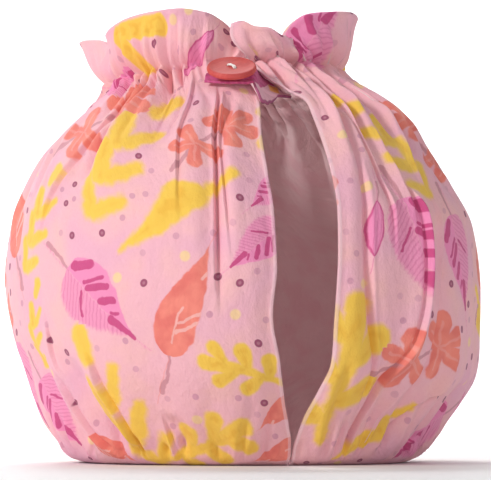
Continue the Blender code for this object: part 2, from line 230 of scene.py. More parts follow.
# Long folds in the cloth: a trough (depth over 0) or a ridge (under 0) along a curve through three
# places, each an azimuth and a height. half_width is the distance over which it fades.
Fold = namedtuple("Fold", "top_az top_z mid_az mid_z low_az low_z depth half_width")
FOLDS = rows_of(
    Fold,
    (-24, 140, -21, 100, -20.5, 58, 3.4, 3.6), (-18, 138, -16.4, 104, -16, 70, -1.6, 4),
    (-46, 139, -40, 126, -37, 108, 2.6, 4.6), (-66, 138, -62, 118, -60, 92, 2.2, 6),
    (-92, 130, -86, 104, -82, 74, 2, 6), (-80, 44, -76, 22, -66, 3, 2.8, 5.4),
    (-64, 36, -58, 16, -46, 2, 3.4, 5), (-34, 16, -32, 8, -30, 2, 2.2, 4),
    (21, 136, 24, 112, 23.5, 88, 3.6, 4.6), (17, 104, 13.8, 70, 16.5, 30, 1.6, 3.6),
    (31, 96, 29.3, 64, 24.5, 30, -3, 5), (37, 82, 36, 56, 29, 20, 3, 5), (20, 34, 20, 18, 17, 3, 2.8, 5),
    (41, 40, 33, 18, 27, 3, 3, 5), (59, 28, 54, 14, 42, 3, 3, 5), (84, 126, 80, 100, 78, 70, 2.2, 6.4),
    (112, 136, 108, 112, 106, 84, 2.8, 6), (140, 134, 142, 108, 146, 88, 2.4, 5.4),
    (118, 40, 112, 20, 104, 3, 3, 5.8), (150, 34, 146, 16, 138, 3, 2.8, 5.4),
    (-122, 136, -118, 112, -116, 80, 2.8, 6), (-148, 135, -150, 112, -154, 90, 2.4, 5.6),
    (-112, 36, -108, 18, -100, 3, 3, 5.8), (-146, 38, -142, 18, -134, 3, 2.8, 5.6),
)
# Gathers all the way round: how many, how deep at their strongest, the height of that place, and
# the height over which they fade.
Gather = namedtuple("Gather", "count depth height reach phase")
GATHERS = rows_of(
    Gather,
    (27, 1.5, 139, 15, 0.7), (14, 1.3, 122, 26, 2.1), (22, 1.1, 6, 16, 1.3), (11, 1, 26, 24, 0.2),
)
# The frill's rim, from the slit to the back seam: the azimuth at the neck that each place rises
# from, and the rim's azimuth, radius and height there.
Lobe = namedtuple("Lobe", "neck_az rim_az radius height")
LEFT_FRILL = rows_of(
    Lobe,
    (-7.5, -10, 33, 152), (-15, -17.5, 41, 155), (-26, -25, 48, 157.2), (-36, -34, 51.5, 158.2),
    (-48, -45, 52.5, 157.9), (-62, -59, 53.5, 156.6), (-77, -72, 53, 153.5), (-91, -84, 45.5, 151.4),
    (-101, -97, 49.5, 155.2), (-114, -110, 57, 157.2), (-128, -126, 54, 157.8), (-138, -138, 43.5, 157),
    (-152, -154, 55, 161), (-166, -168, 55, 160), (-180, -180, 46, 156),
)
RIGHT_FRILL = rows_of(
    Lobe,
    (-2.5, -14.5, 45, 153.4), (2, -9, 46, 154.4), (7, -3, 47, 152.4), (12, 2.5, 48, 152),
    (19, 10, 47, 149.6), (24.5, 17, 43.5, 149), (30, 15.5, 39, 151.6), (35, 18.5, 40.5, 155.5),
    (40, 24, 45, 159), (50, 36, 48.5, 160.8), (61, 50, 50.5, 162.3), (68, 58, 49.5, 161.6),
    (79, 72, 41, 157), (89, 85, 39, 155), (104, 103, 49, 160), (124, 122, 55, 162), (138, 138, 45, 157.5),
    (158, 157, 55, 161.5), (180, 180, 46, 156),
)
FRILL_BULGE = 2.4  # how far the frill stands out just above the gathering thread
FRILL_PUCKER, FRILL_WAVE = 0.9, 1.1  # how deep its small and its wide ripples are
THREAD_GROOVE = 2.3  # how far the thread draws the neck in
GROOVE_HALF_WIDTH = 1.7
FRILL_LEAN = (-2.8, 4.0, 2.4)  # the right end to the left, the left end to the right, and how far inwards
FRILL_LEAN_WIDTH = 9.0  # degrees over which the lean dies out
RIM_ROLL = 0.9  # radius of the roll along the rim
ROLL_STEPS = 4
EDGE_ROLL = 2.2  # how far a cut edge turns inwards, so that a seam looks pulled in
EDGE_ROLL_WIDTH = 4.5
EDGE_ROLL_TOP = (118.0, 134.0)  # between these heights the turned-in edge flattens out
SEAM_HALF_GAP = 0.35
FLAT_REACH = 6.0  # folds grow from nothing on the table to their full depth at this height
# The button's place on the shoulder. It faces up by its tilt, and is turned on its own axis.
BUTTON_AZIMUTH = -16.1
BUTTON_RADIUS = 56.7
BUTTON_HEIGHT = 135.9
BUTTON_SWAY = -1.8
BUTTON_TILT = 57.0
BUTTON_TURN = -46.0
BUTTON_PRESS = 12.0  # how far round itself it holds the cloth flat
print(len(SECTIONS), "sections,", len(FOLDS), "folds,", len(LEFT_FRILL) + len(RIGHT_FRILL), "frill places")

# %% [markdown]
# ## Curves through a table
# Each column of a table is read through one curve that passes every value and doesn't overshoot, so that
# a row can be changed without waves turning up next to it. The second tool makes uneven ripples: random
# heights at even places, joined smoothly, which repeat after a full turn. Puckers made from these look
# sewn, while a plain sine would look like a machine part.

# %% Curves and uneven ripples
def smooth_curve(keys, values, at):
    """A curve through the given values that doesn't overshoot, read at the places asked for."""
    keys, values, at = (np.asarray(v, float) for v in (keys, values, at))
    gaps = np.diff(keys)
    slopes = np.diff(values) / gaps
    tangents = np.zeros(len(keys))
    tangents[0], tangents[-1] = slopes[0], slopes[-1]
    same_way = slopes[:-1] * slopes[1:] > 0
    pairs = slopes[:-1] + slopes[1:]
    tangents[1:-1][same_way] = (2 * slopes[:-1] * slopes[1:])[same_way] / pairs[same_way]
    k = np.clip(np.searchsorted(keys, at, side="right") - 1, 0, len(gaps) - 1)
    t = np.clip((at - keys[k]) / gaps[k], 0.0, 1.0)
    rise = values[k + 1] - values[k]
    start, end = tangents[k] * gaps[k], tangents[k + 1] * gaps[k]
    return values[k] + t * start + t**2 * (3 * rise - 2 * start - end) + t**3 * (start + end - 2 * rise)


def smooth_step(low, high, x):
    """0 below low, 1 above high, and a smooth rise between."""
    t = np.clip((np.asarray(x, float) - low) / (high - low), 0.0, 1.0)
    return t * t * (3 - 2 * t)


def bell(x, width=1.0):
    """1 at 0, and falling to almost nothing twice the width away."""
    return np.exp(-((x / width) ** 2))


def ripples(turns, count, seed):
    """Uneven waves between -1 and 1 round a full turn, with about count of them. turns is in turns."""
    heights = np.random.default_rng(seed).uniform(-1.0, 1.0, count * 2)
    place = np.mod(turns, 1.0) * count * 2
    k = np.floor(place).astype(int)
    t = place - k
    a, b, c, d = (heights[(k + i) % (count * 2)] for i in (-1, 0, 1, 2))
    return b + 0.5 * t * (c - a + t * (2 * a - 5 * b + 4 * c - d + t * (3 * (b - c) + d - a)))


print("spread of a row of ripples:", round(float(np.std(ripples(np.linspace(0, 1, 500), 40, 1))), 2))

# %% [markdown]
# ## Folds and gathers
# A cloth drawn in by a thread makes many small puckers at the thread. Away from it they merge into fewer
# and wider folds, which nearly die out at the widest place. So there are layers of uneven ripples, each with
# its own place and reach: three at the neck, two at the hem and a slow one over the belly. A pucker has a
# round back and a sharp valley, and a power below 1 makes the valley sharp. The creases that the photograph
# shows are added one by one from a table, and so are its laps, where one fold lies over the next. A lap
# rises slowly on one side and ends in a sharp step.

# %% How far the cloth stands in or out
# A crease is a narrow valley with a raised lip on one side. The pleats, made further down, have two lips.
Crease = namedtuple("Crease", "top_az top_z mid_az mid_z low_az low_z depth half_width lip")
CREASES = rows_of(
    Crease,
    (-36, 139, -34.5, 130, -34.5, 112, 1.4, 1.3, 0.5), (-44, 140, -42, 131, -41.5, 122, 1.2, 1.2, 0.5),
    (-53, 140, -49.5, 127, -47.5, 112, 1.4, 1.5, 0.5), (-84, 132, -79, 114, -76, 92, 1.4, 2.2, 0.6),
    (-96, 126, -91, 104, -87, 80, 1.4, 2.4, 0.7), (17.5, 112, 14.4, 66, 16.5, 18, 2.2, 0.9, 0.7),
    (12, 138, 13.5, 128, 14, 116, 1.2, 1.2, 0.5), (48, 137, 50, 122, 52, 104, 1.3, 1.8, 0.6),
    (86, 124, 82, 102, 79, 74, 1.2, 2, 0.6),
)
# A lap's line is its places (azimuth, height) from the top down. side is 1 where its left side stands proud.
Lap = namedtuple("Lap", "line height run side")
LAPS = rows_of(
    Lap,
    (((-22.6, 136), (-21.6, 118), (-20.8, 98), (-20.5, 50)), 2.6, 3.6, 1),
    (((-19.9, 132), (-19.6, 112), (-18.6, 91), (-17.1, 66)), 1.5, 1.7, 1),
    (((-31.6, 137), (-30.8, 116), (-28.5, 80)), 1.3, 3, 1),
    (((-41, 138), (-40, 126), (-39, 112)), 1.2, 2.4, 1),
    (((-60, 138), (-63.7, 107), (-67.2, 96), (-68.6, 76)), 1.6, 4, 1),
    (((-68.2, 50), (-70, 34), (-65.7, 28), (-54.6, 22)), 1.4, 3, 1),
    (((-56.2, 38), (-54.3, 28), (-48.8, 14), (-45.6, 1.5)), 2.6, 3, 1),
    (((-72, 32), (-63.4, 13), (-54, 2)), 2.3, 3.2, 1),
    (((-37.5, 15), (-36.2, 8), (-34.2, 1.5)), 2, 2.6, 1),
    (((20, 136), (22.4, 114), (22.6, 98), (21.8, 70)), 1.8, 2.4, -1),
    (((27.4, 136), (28.2, 125.4), (28.9, 117.7), (28.2, 101.1), (27.6, 78)), 2.5, 2.6, 1),
    (((38.2, 138), (39.3, 128.3), (40.9, 117.6), (37.7, 104.9), (36, 84)), 2.2, 2.8, 1),
    (((41.5, 137), (43.5, 129), (49, 108), (53.6, 97), (56, 72)), 1.7, 3, 1),
    (((29.4, 94), (30, 80), (29, 59), (26.5, 43), (21.5, 30), (17.4, 2.5)), 2.8, 2.4, -1),
    (((38.4, 94), (38.4, 78), (36, 56), (30.5, 32), (24.6, 18), (22.8, 2.5)), 3, 2.8, 1),
    (((43.6, 52), (42.6, 28), (33.6, 18), (27.7, 2.5)), 2.2, 2.6, 1),
    (((60, 34), (55.5, 15), (43.3, 3)), 2.2, 2.8, 1),
)
LAP_EDGE = (-0.15, 0.65)  # across a lap's line, where it starts to drop and where it has dropped
LAP_GROOVE = (0.5, 0.75, 0.8)  # the groove beside it: its share of the lap's height, place and half width
LAP_FADE, LAP_FADE_AT_HEM = 24.0, 6.0  # height over which it fades out at its foot
# The layers of ripples: how many waves in a full turn, their depth, the height where they are strongest,
# how far up and down they reach, and the seed.
UNEVEN_LAYERS = (
    (96, 1.5, 141, 8, 11),
    (36, 2.3, 134, 14, 12),
    (17, 2.2, 118, 24, 13),
    (60, 0.6, 4, 7, 14),
    (22, 1.5, 12, 16, 15),
    (13, 1.2, 66, 46, 16),
)
VALLEY_POWER = 0.8
RIPPLE_LEVEL = 0.6  # taken off, so that a layer goes inwards as well as outwards
NECK_THREAD, HEM_THREAD = 139.0, 4.0  # the heights where a pleat is narrowest
WIDENING = 30.0  # how far from there it is nearly twice as wide
LIP_PLACE = 2.2  # how many half widths a lip stands from the valley


def scatter_pleats(count, start, lengths, depth, width, seed):
    """Pleats that start at one height, at uneven places round the cosy, and run up or down from it. Most
    are short and a few are long, and half of them slant twice as much as the others."""
    rng = np.random.default_rng(seed)
    pleats = []
    for number in range(count):
        at = (number + rng.uniform(-0.32, 0.32)) * 360.0 / count - 180.0
        length = lengths[0] + (lengths[1] - lengths[0]) * rng.uniform() ** 2.5
        slant = rng.normal(0.0, 0.035) * abs(length) * (1 if rng.uniform() < 0.5 else 2)
        middle, end = at + 0.35 * slant + rng.normal(0.0, 0.5), at + slant
        size = rng.uniform(0.6, 1.25)
        row = [(at, start), (middle, start + 0.5 * length), (end, start + length)]
        row = row if length < 0 else row[::-1]
        pleats.append(Crease(*row[0], *row[1], *row[2], depth * size, width * size**0.5, 0.35 * depth * size))
    return pleats


PLEATS = scatter_pleats(count=58, start=152.0, lengths=(-18.0, -58.0), depth=2.6, width=0.95, seed=21)
PLEATS += scatter_pleats(count=46, start=-6.0, lengths=(12.0, 42.0), depth=1.9, width=1.1, seed=22)


def along_line(line, height):
    """The azimuth of a fold's or crease's line at each height, and how much of it is there, 0 to 1."""
    keys = (line.low_z, line.mid_z, line.top_z)
    azimuth = smooth_curve(keys, (line.low_az, line.mid_az, line.top_az), height)
    span = (height - line.low_z) / (line.top_z - line.low_z)
    return azimuth, smooth_step(-0.12, 0.25, span) * (1 - smooth_step(0.75, 1.12, span))


def lap_line(lap, height):
    """The same for a lap, which fades out slowly where it ends on the open cloth."""
    places = lap.line[::-1]
    low, top = places[0][1], places[-1][1]
    azimuth = smooth_curve([z for _, z in places], [a for a, _ in places], height)
    fade = LAP_FADE_AT_HEM if low < 5.0 else LAP_FADE
    above = 1 - smooth_step(top - 9.0, top + 3.0, height)
    return azimuth, smooth_step(low - 4.0, low + fade, height) * above


def lap_depth(aside, lap):
    """One side rises to the lap's edge over its run, and drops to the other side at once."""
    aside = aside * lap.side
    rise = np.exp(np.minimum(aside, 0.0) / lap.run)
    drop = 1 - smooth_step(*LAP_EDGE, aside)
    share, place, half_width = LAP_GROOVE
    return lap.height * (rise * drop - share * bell(aside - place, half_width))


def fold_depth(azimuth, radius, height):
    """The long folds and gathers, which the frame's solids have in a plainer form: over 0 is outwards."""
    out = np.zeros_like(azimuth)
    for fold in FOLDS:
        line, strength = along_line(fold, height)
        aside = np.radians(azimuth - line) * radius
        out -= fold.depth * strength * bell(aside, fold.half_width)
    turn = np.radians(azimuth)
    uneven = turn + 0.05 * np.sin(3 * turn + 1.0) + 0.03 * np.sin(7 * turn + 0.4)
    for gather in GATHERS:
        near = bell(height - gather.height, gather.reach)
        strength = 0.75 + 0.25 * np.sin(2 * turn + gather.phase)
        out += gather.depth * near * strength * np.sin(gather.count * uneven + gather.phase)
    return out * smooth_step(0.0, FLAT_REACH, height)


def fine_depth(azimuth, radius, height):
    """The puckers, creases and laps that only the fine cloth has."""
    out = np.zeros_like(azimuth)
    drift = 0.004 * np.sin(height / 7.0) + 0.003 * np.sin(height / 3.1 + azimuth / 9.0)
    for count, depth, middle, reach, seed in UNEVEN_LAYERS:
        near = bell(height - middle, reach)
        wave = ripples(azimuth / 360 + drift + 0.0006 * (height - middle), count, seed)
        out += depth * near * (np.abs(wave) ** VALLEY_POWER - RIPPLE_LEVEL)
    for number, crease in enumerate((*CREASES, *PLEATS)):
        line, strength = along_line(crease, height)
        is_pleat = number >= len(CREASES)
        away = np.abs(height - (NECK_THREAD if crease.top_z > 125 else HEM_THREAD)) / WIDENING
        width = crease.half_width * (1.0 + 0.9 * np.minimum(away, 1.5) * is_pleat)
        aside = np.radians(azimuth - line) * radius / width
        valley = np.exp(-np.abs(aside) ** 1.5)
        lips = bell(aside - LIP_PLACE) + is_pleat * bell(aside + LIP_PLACE)
        out += strength * (crease.lip * lips - crease.depth * valley)
    for lap in LAPS:
        line, strength = lap_line(lap, height)
        out += strength * lap_depth(np.radians(azimuth - line) * radius, lap)
    return out * smooth_step(0.0, FLAT_REACH, height)


def pressed(azimuth, radius, height):
    """How much the button holds the cloth down at each place, from 0 to 1."""
    aside = np.radians(azimuth - BUTTON_AZIMUTH) * radius
    away = np.sqrt(aside**2 + (radius - BUTTON_RADIUS) ** 2 + (height - BUTTON_HEIGHT) ** 2)
    return 1 - smooth_step(0.6 * BUTTON_PRESS, 1.4 * BUTTON_PRESS, away)


print(len(CREASES), "creases,", len(LAPS), "laps,", len(PLEATS), "pleats and", len(UNEVEN_LAYERS), "layers")

# %% [markdown]
# ## One panel of cloth
# A panel is a grid of points: rows run from the hem's inner edge up to the rim of the frill, columns from
# the slit to the back seam. The outline gives each row its radius and height, the folds push it along the
# outline's normal, and the frill is drawn between the neck and its rim. The same grid also gets the place
# of each point on the flat cloth, which is what the print needs: across from the slit, and up from the hem.

# %% Build the grid of a panel
ACROSS, UP, UP_FRILL = 310, 128, 22  # quads across the panel, up to the neck, and up the frill
EVEN_PLACES = 1601  # how finely the spacing of the columns is worked out
FINE_FROM_EDGE = 2.0  # the fine creases reach their full depth this far from an edge
PEAK = 27 / 4  # one over the greatest value of x * (1 - x)**2
# Where more cloth is gathered than the outline shows: how much more, the place up the cloth, the reach.
FULLNESS = ((0.35, 178.0, 22.0), (0.25, 0.0, 22.0))
FRILL_CLOTH = 21.0  # the cloth's run from the neck to the rim


def section_lengths():
    places = np.array([(s.radius, s.height) for s in SECTIONS])
    return np.concatenate([[0.0], np.cumsum(np.linalg.norm(np.diff(places, axis=0), axis=1))])


def column(name, lengths):
    return smooth_curve(section_lengths(), [getattr(s, name) for s in SECTIONS], lengths)


def body_outline(lengths):
    """Radius, height and outward normal (radial and up) of the smooth body at these lengths."""
    above, below = np.minimum(lengths + 0.5, section_lengths()[-1]), np.maximum(lengths - 0.5, 0.0)
    run = column("radius", above) - column("radius", below)
    rise = column("height", above) - column("height", below)
    size = np.hypot(run, rise)
    return column("radius", lengths), column("height", lengths), rise / size, -run / size


def sway_towards():
    turn = math.radians(SWAY_AZIMUTH)
    return np.array([math.sin(turn), -math.cos(turn)])


def rim_curve(lobes, neck_az):
    """Plan position and height of the frill's rim above each azimuth at the neck."""
    turn = np.radians([lobe.rim_az for lobe in lobes])
    radii = np.array([lobe.radius for lobe in lobes])
    keys = [lobe.neck_az for lobe in lobes]
    columns = (radii * np.sin(turn), -radii * np.cos(turn), [lobe.height for lobe in lobes])
    if keys[0] > keys[-1]:
        keys, columns = keys[::-1], [c[::-1] for c in columns]
    return np.stack([smooth_curve(keys, c, neck_az) for c in columns], axis=-1)


def crowded_columns(front, back, height):
    """Where the columns stand in each row, from 0 to 1: closer together where a crease runs."""
    even = np.linspace(0.0, 1.0, EVEN_PLACES)
    azimuth = front + (back - front) * even[None, :]
    crowd = np.ones_like(azimuth)
    for crease in CREASES:
        line, _ = along_line(crease, height)
        crowd += 1.2 * bell(azimuth - line, 2.2)
    for lap in LAPS:
        line, strength = lap_line(lap, height)
        crowd += (0.4 + 2.6 * strength) * bell(azimuth - line, 1.3)
    total = np.cumsum(crowd, axis=1)
    total = (total - total[:, :1]) / (total[:, -1:] - total[:, :1])
    wanted = np.linspace(0.0, 1.0, ACROSS + 1)
    return np.stack([np.interp(wanted, row, even) for row in total])


def panel_points(side, lobes):
    """The panel's outer surface as rows of points, from the hem up: side is -1 left, 1 right."""
    lengths = np.linspace(0.0, section_lengths()[-1], UP + 1)
    radius, height, normal_out, normal_up = (v[:, None] for v in body_outline(lengths))
    spare = np.degrees(SEAM_HALF_GAP / radius)
    slit = column("slit_left" if side < 0 else "slit_right", lengths)[:, None]
    front = slit + side * spare
    back = side * (180.0 - column("opening", lengths)[:, None] - spare)
    share = crowded_columns(front, back, height)
    azimuth = front + (back - front) * share
    width = np.abs(np.radians(back - front)) * radius
    from_edge = np.minimum(share, 1 - share) * width
    roll = EDGE_ROLL * bell(from_edge, EDGE_ROLL_WIDTH)
    out = fold_depth(azimuth, radius, height) * smooth_step(0.0, EDGE_ROLL_WIDTH, from_edge)
    out += fine_depth(azimuth, radius, height) * smooth_step(0.0, FINE_FROM_EDGE, from_edge)
    out *= 1 - pressed(azimuth, radius, height)
    out -= THREAD_GROOVE * bell(height - NECK_HEIGHT, GROOVE_HALF_WIDTH)
    out -= roll * smooth_step(0.0, FLAT_REACH, height) * (1 - smooth_step(*EDGE_ROLL_TOP, height))
    turn = np.radians(azimuth)
    across = radius + out * normal_out
    up = np.maximum(height + out * normal_up, 0.0)
    body = np.stack([across * np.sin(turn), -across * np.cos(turn), up], axis=-1)
    raised = math.radians(1.0) * (azimuth - SWAY_AZIMUTH)
    body[..., 2] += NECK_TILT * np.cos(raised) * smooth_step(NECK_TILT_FROM, NECK_HEIGHT, height)
    points = np.concatenate([body, frill_rows(body[-1], azimuth[-1], lobes)])
    body_sway = column("sway", lengths)
    frill_sway = np.linspace(body_sway[-1], RIM_SWAY, UP_FRILL + 1)[1:]
    points[..., :2] += np.append(body_sway, frill_sway)[:, None, None] * sway_towards()
    return points * MM, flat_places(lengths, share, width)


def frill_rows(neck, azimuth, lobes):
    """The rows from the neck up to the rim: puckered above the thread, and rolled inwards at the rim.
    Half way up, both ends at the slit lean aside: the right one over the left one."""
    rim = rim_curve(lobes, azimuth)
    away = rim[:, :2] + neck[:, :2]
    away /= np.linalg.norm(away, axis=1, keepdims=True)
    pucker = ripples(azimuth / 360, count=64, seed=31)
    wide = ripples(azimuth / 360 + 0.01, count=24, seed=32)
    front = np.radians(azimuth[0])
    end = bell(azimuth - azimuth[0], FRILL_LEAN_WIDTH)[:, None]
    lean, inwards = (FRILL_LEAN[0], 0.0) if azimuth[-1] > 0 else FRILL_LEAN[1:]
    lean = end * (lean * np.array([math.cos(front), math.sin(front)]) - inwards * away)
    rows = []
    steps_up = UP_FRILL - ROLL_STEPS
    for up in np.arange(1, steps_up + 1) / steps_up:
        level = neck * (1 - up) + rim * up
        bulge = FRILL_BULGE * PEAK * up * (1 - up) ** 2
        small = FRILL_PUCKER * pucker * math.sin(math.pi * up**0.5) ** 2 * (1 - up)
        large = FRILL_WAVE * wide * math.sin(math.pi * min(up, 0.97))
        level[:, :2] += away * (bulge + small + large)[:, None] + lean * math.sin(math.pi * up)
        rows.append(level)
    for turn in math.pi * np.arange(1, ROLL_STEPS + 1) / ROLL_STEPS:
        level = rows[steps_up - 1].copy()
        level[:, :2] -= away * RIM_ROLL * (1 - math.cos(turn))
        level[:, 2] += RIM_ROLL * math.sin(turn)
        rows.append(level)
    return np.stack(rows)


def flat_places(lengths, share, width):
    """Where each point lies on the flat cloth, in millimetres: across from the slit, up from the hem."""
    fullness = np.ones_like(lengths)
    for more, place, reach in FULLNESS:
        fullness += more * bell(lengths - place, reach)
    across = share * width * fullness[:, None]
    frill_across = np.repeat(across[-1:], UP_FRILL, axis=0)
    frill_up = lengths[-1] + FRILL_CLOTH * np.arange(1, UP_FRILL + 1) / UP_FRILL
    ups = np.concatenate([lengths, frill_up])
    across = np.concatenate([across, frill_across])
    return np.stack([across, np.repeat(ups[:, None], across.shape[1], axis=1)], axis=-1)


panels = {
    "left_cloth": panel_points(-1, LEFT_FRILL),
    "right_cloth": panel_points(1, RIGHT_FRILL),
}
for name, (points, flat) in panels.items():
    print(name, points.shape, "flat", flat.reshape(-1, 2).max(axis=0).round(0), "mm")

# %% [markdown]
# ## The kinds of leaf
# The cloth is a scatter of ordinary leaves and dots. Most leaves are made of rounded strokes, as if laid
# down with a brush: a stroke goes from one point to another and may swell on the way. So each kind of leaf
# is a short table of strokes, in the leaf's own coordinates from 0 at its base to 1 at its tip. The long
# leaf, the barred leaf and the lens have a real leaf's outline instead, and strokes only for their stem and
# for the cuts or bars on it.

# %% Tables of strokes
FERN, COMB, BLADE, HOOK, SPRIG, VEINED, HATCHED, LENS = range(8)
Stroke = namedtuple("Stroke", "x y to_x to_y width to_width")
FERN_STROKES = rows_of(
    Stroke,
    (0, -0.02, 0.45, 0.05, 0.04, 0.06), (0.45, 0.05, 0.92, 0.02, 0.06, 0.095),
    (0.14, 0.02, 0.20, 0.22, 0.05, 0.095), (0.42, 0.05, 0.52, 0.26, 0.05, 0.1),
    (0.68, 0.05, 0.84, 0.22, 0.05, 0.085), (0.24, 0.03, 0.38, -0.17, 0.05, 0.095),
    (0.54, 0.03, 0.72, -0.16, 0.05, 0.09),
)
COMB_STROKES = rows_of(
    Stroke,
    (0.03, -0.01, 0.22, -0.12, 0.045, 0.04), (0.05, 0.03, 0.17, 0.15, 0.055, 0.04),
    (0.26, -0.04, 0.46, -0.09, 0.065, 0.05), (0.28, 0.02, 0.41, 0.15, 0.056, 0.042),
    (0.51, -0.04, 0.69, -0.10, 0.068, 0.055), (0.53, 0.02, 0.70, 0.12, 0.05, 0.036),
    (0.84, -0.02, 0.97, 0.01, 0.055, 0.07),
)
HOOK_STROKES = rows_of(
    Stroke,
    (0.06, 0, 0.94, 0, 0.11, 0.15), (0.06, 0.05, 0.64, 0.6, 0.11, 0.12),
)
BLADE_STROKES = rows_of(
    Stroke,
    (0, 0, 0.33, 0, 0.008, 0.07), (0.33, 0, 0.57, -0.05, 0.08, 0.125),
    (0.57, -0.05, 0.65, -0.01, 0.125, 0.095), (0.73, 0.01, 0.80, 0, 0.036, 0.04),
    (0.84, 0, 0.97, 0, 0.03, 0.042),
)
SPRIG_LEAVES = rows_of(
    Stroke,
    (0.68, 0, 0.84, -0.14, 0.045, 0.095), (0.69, 0.01, 0.92, 0.04, 0.045, 0.08),
    (0.68, 0.02, 0.78, 0.19, 0.045, 0.09), (0.66, 0.02, 0.60, 0.17, 0.045, 0.075),
    (0.66, 0, 0.60, -0.16, 0.045, 0.09), (0.30, 0.02, 0.38, -0.13, 0.045, 0.08),
    (0.29, 0.03, 0.33, 0.19, 0.045, 0.085), (0.28, 0.02, 0.13, 0.13, 0.045, 0.07),
    (0.27, 0, 0.15, -0.11, 0.045, 0.075),
)
SPRIG_STEMS = rows_of(
    Stroke,
    (-0.08, -0.04, 0.3, 0.02, 0.028, 0.014), (0.3, 0.02, 0.85, 0.02, 0.014, 0.012),
)
LEAF_STEM = rows_of(
    Stroke,
    (0.02, 0, -0.18, 0.035, 0.012, 0.014), (-0.18, 0.035, -0.36, 0.02, 0.014, 0.026),
)
DARK_BARS = rows_of(
    Stroke,
    (0.06, 0.08, 0.20, 0.21, 0.04, 0.042), (0.24, 0.04, 0.38, 0.2, 0.016, 0.016),
    (0.31, 0.03, 0.47, 0.17, 0.03, 0.034), (0.50, 0.03, 0.61, 0.12, 0.028, 0.033),
    (0.67, 0.03, 0.73, 0.07, 0.013, 0.013), (0.71, -0.01, 0.97, 0, 0.038, 0.016),
    (0.27, -0.04, 0.43, -0.18, 0.013, 0.012),
)
LEAF_CUTS = rows_of(
    Stroke,
    (0.12, 0, 0.44, 0.01, 0.004, 0.01), (0.22, 0.02, 0.38, 0.2, 0.012, 0.012),
    (0.31, 0.02, 0.47, 0.2, 0.009, 0.014), (0.72, 0.05, 0.78, 0.08, 0.012, 0.014),
)
STROKES = {FERN: FERN_STROKES, COMB: COMB_STROKES, BLADE: BLADE_STROKES, HOOK: HOOK_STROKES}
STROKES[SPRIG] = SPRIG_LEAVES + SPRIG_STEMS
# An outline is half a sine wave along the rib. A power below 1 moves its widest place towards the base, and
# pointed makes its tip sharper.
Outline = namedtuple("Outline", "power half_width pointed")
OUTLINES = {
    VEINED: Outline(0.62, 0.19, 0.6),
    HATCHED: Outline(0.58, 0.265, 0.6),
    LENS: Outline(1.0, 0.15, 0.0),
}
FULL = 0.7  # the power of the sine itself: below 1, so that the outline is full
FAR = 9.0  # farther off than any stroke, in leaf lengths
strokes_made = sum(len(table) for table in STROKES.values())
print(strokes_made, "strokes in", len(STROKES), "kinds of leaf, and", len(OUTLINES), "outlines")

# %% [markdown]
# ## Where the leaves lie
# Each leaf is one row of a chart: where its base and its tip lie on the flat cloth, and which kind it is.
# Every face of the mesh then takes the leaf nearest to it and keeps its corners' places along and across
# that leaf. Inside the material each kind of leaf is drawn only once, however many there are of it.

# %% The chart of leaves
# flip is -1 where a leaf is drawn the other way round, as if seen from behind.
Leaf = namedtuple("Leaf", "kind base_u base_v tip_u tip_v flip", defaults=(1,))
LEFT_CHART = rows_of(
    Leaf,
    (HATCHED, 77, 87, 47.5, 62.5, -1), (VEINED, 37, 57, 22, 93), (BLADE, 54, 92, 11, 119),
    (COMB, 66.3, 104.8, 33.8, 158.3), (SPRIG, 85, 134, 45, 166), (SPRIG, 31, 123, 2.5, 146, -1),
    (HATCHED, -6, 118, 8, 106), (HATCHED, -3, 101, 16, 85.5, -1), (FERN, 0, 47, 27, 55),
    (COMB, 50, 14, 72, 66), (HATCHED, 106, 50, 92, 22), (COMB, 102, 54, 94, 84), (VEINED, 80, 27, 62, 16),
    (FERN, 46, 17, 14, 33), (VEINED, -8, 42, 11, 30, -1), (VEINED, -8, 24, 15, 16, -1),
    (COMB, 104, 88, 82, 126), (HOOK, 62, 192.5, 37.5, 191.5), (LENS, 27.5, 172.5, 13, 190.5),
    (HATCHED, 124, 64, 118, 30), (VEINED, 112, 94, 128, 128), (HATCHED, 130, 150, 100, 168, -1),
    (SPRIG, 128, 66, 146, 96), (FERN, 142, 20, 134, 54, -1), (HATCHED, 76, 165, 58, 184, -1),
    (BLADE, 140, 112, 152, 150),
)
RIGHT_CHART = rows_of(
    Leaf,
    (COMB, 43, 114, 16, 158), (SPRIG, 64, 122, 44, 158), (LENS, 14.5, 110, 12.5, 90.5),
    (HATCHED, 25, 111, 37.5, 74), (HATCHED, 55, 108, 66, 74, -1), (FERN, 7, 26, 9, 78),
    (SPRIG, 18, 51, 60, 65), (BLADE, 17, 17, 44, 39), (HATCHED, 82, 36, 50, 17, -1), (LENS, 90, 46, 94, 34),
    (VEINED, 88, 84, 98, 120), (BLADE, 104, 60, 80, 84, -1), (VEINED, 84, 132, 74, 166),
    (HATCHED, 27, 178, 58, 200), (FERN, 84, 180, 104, 194), (SPRIG, 118, 20, 108, 52),
    (HATCHED, 126, 130, 110, 98), (COMB, 112, 136, 96, 172), (FERN, 140, 60, 124, 90),
    (VEINED, 150, 20, 134, 44), (SPRIG, 146, 104, 138, 140, -1), (LENS, 128, 174, 140, 192),
)
REPEAT = 152.0  # the chart comes again this far round
BEFORE = 8  # rows at the chart's end that reach back over its start


def moved(leaf, aside):
    return leaf._replace(base_u=leaf.base_u + aside, tip_u=leaf.tip_u + aside)


def whole_chart(chart):
    """The chart, and again further round, past its own repeat on both sides."""
    again = [moved(leaf, REPEAT) for leaf in chart]
    before = [moved(leaf, -REPEAT) for leaf in chart[-BEFORE:]]
    return [*chart, *again, *before]


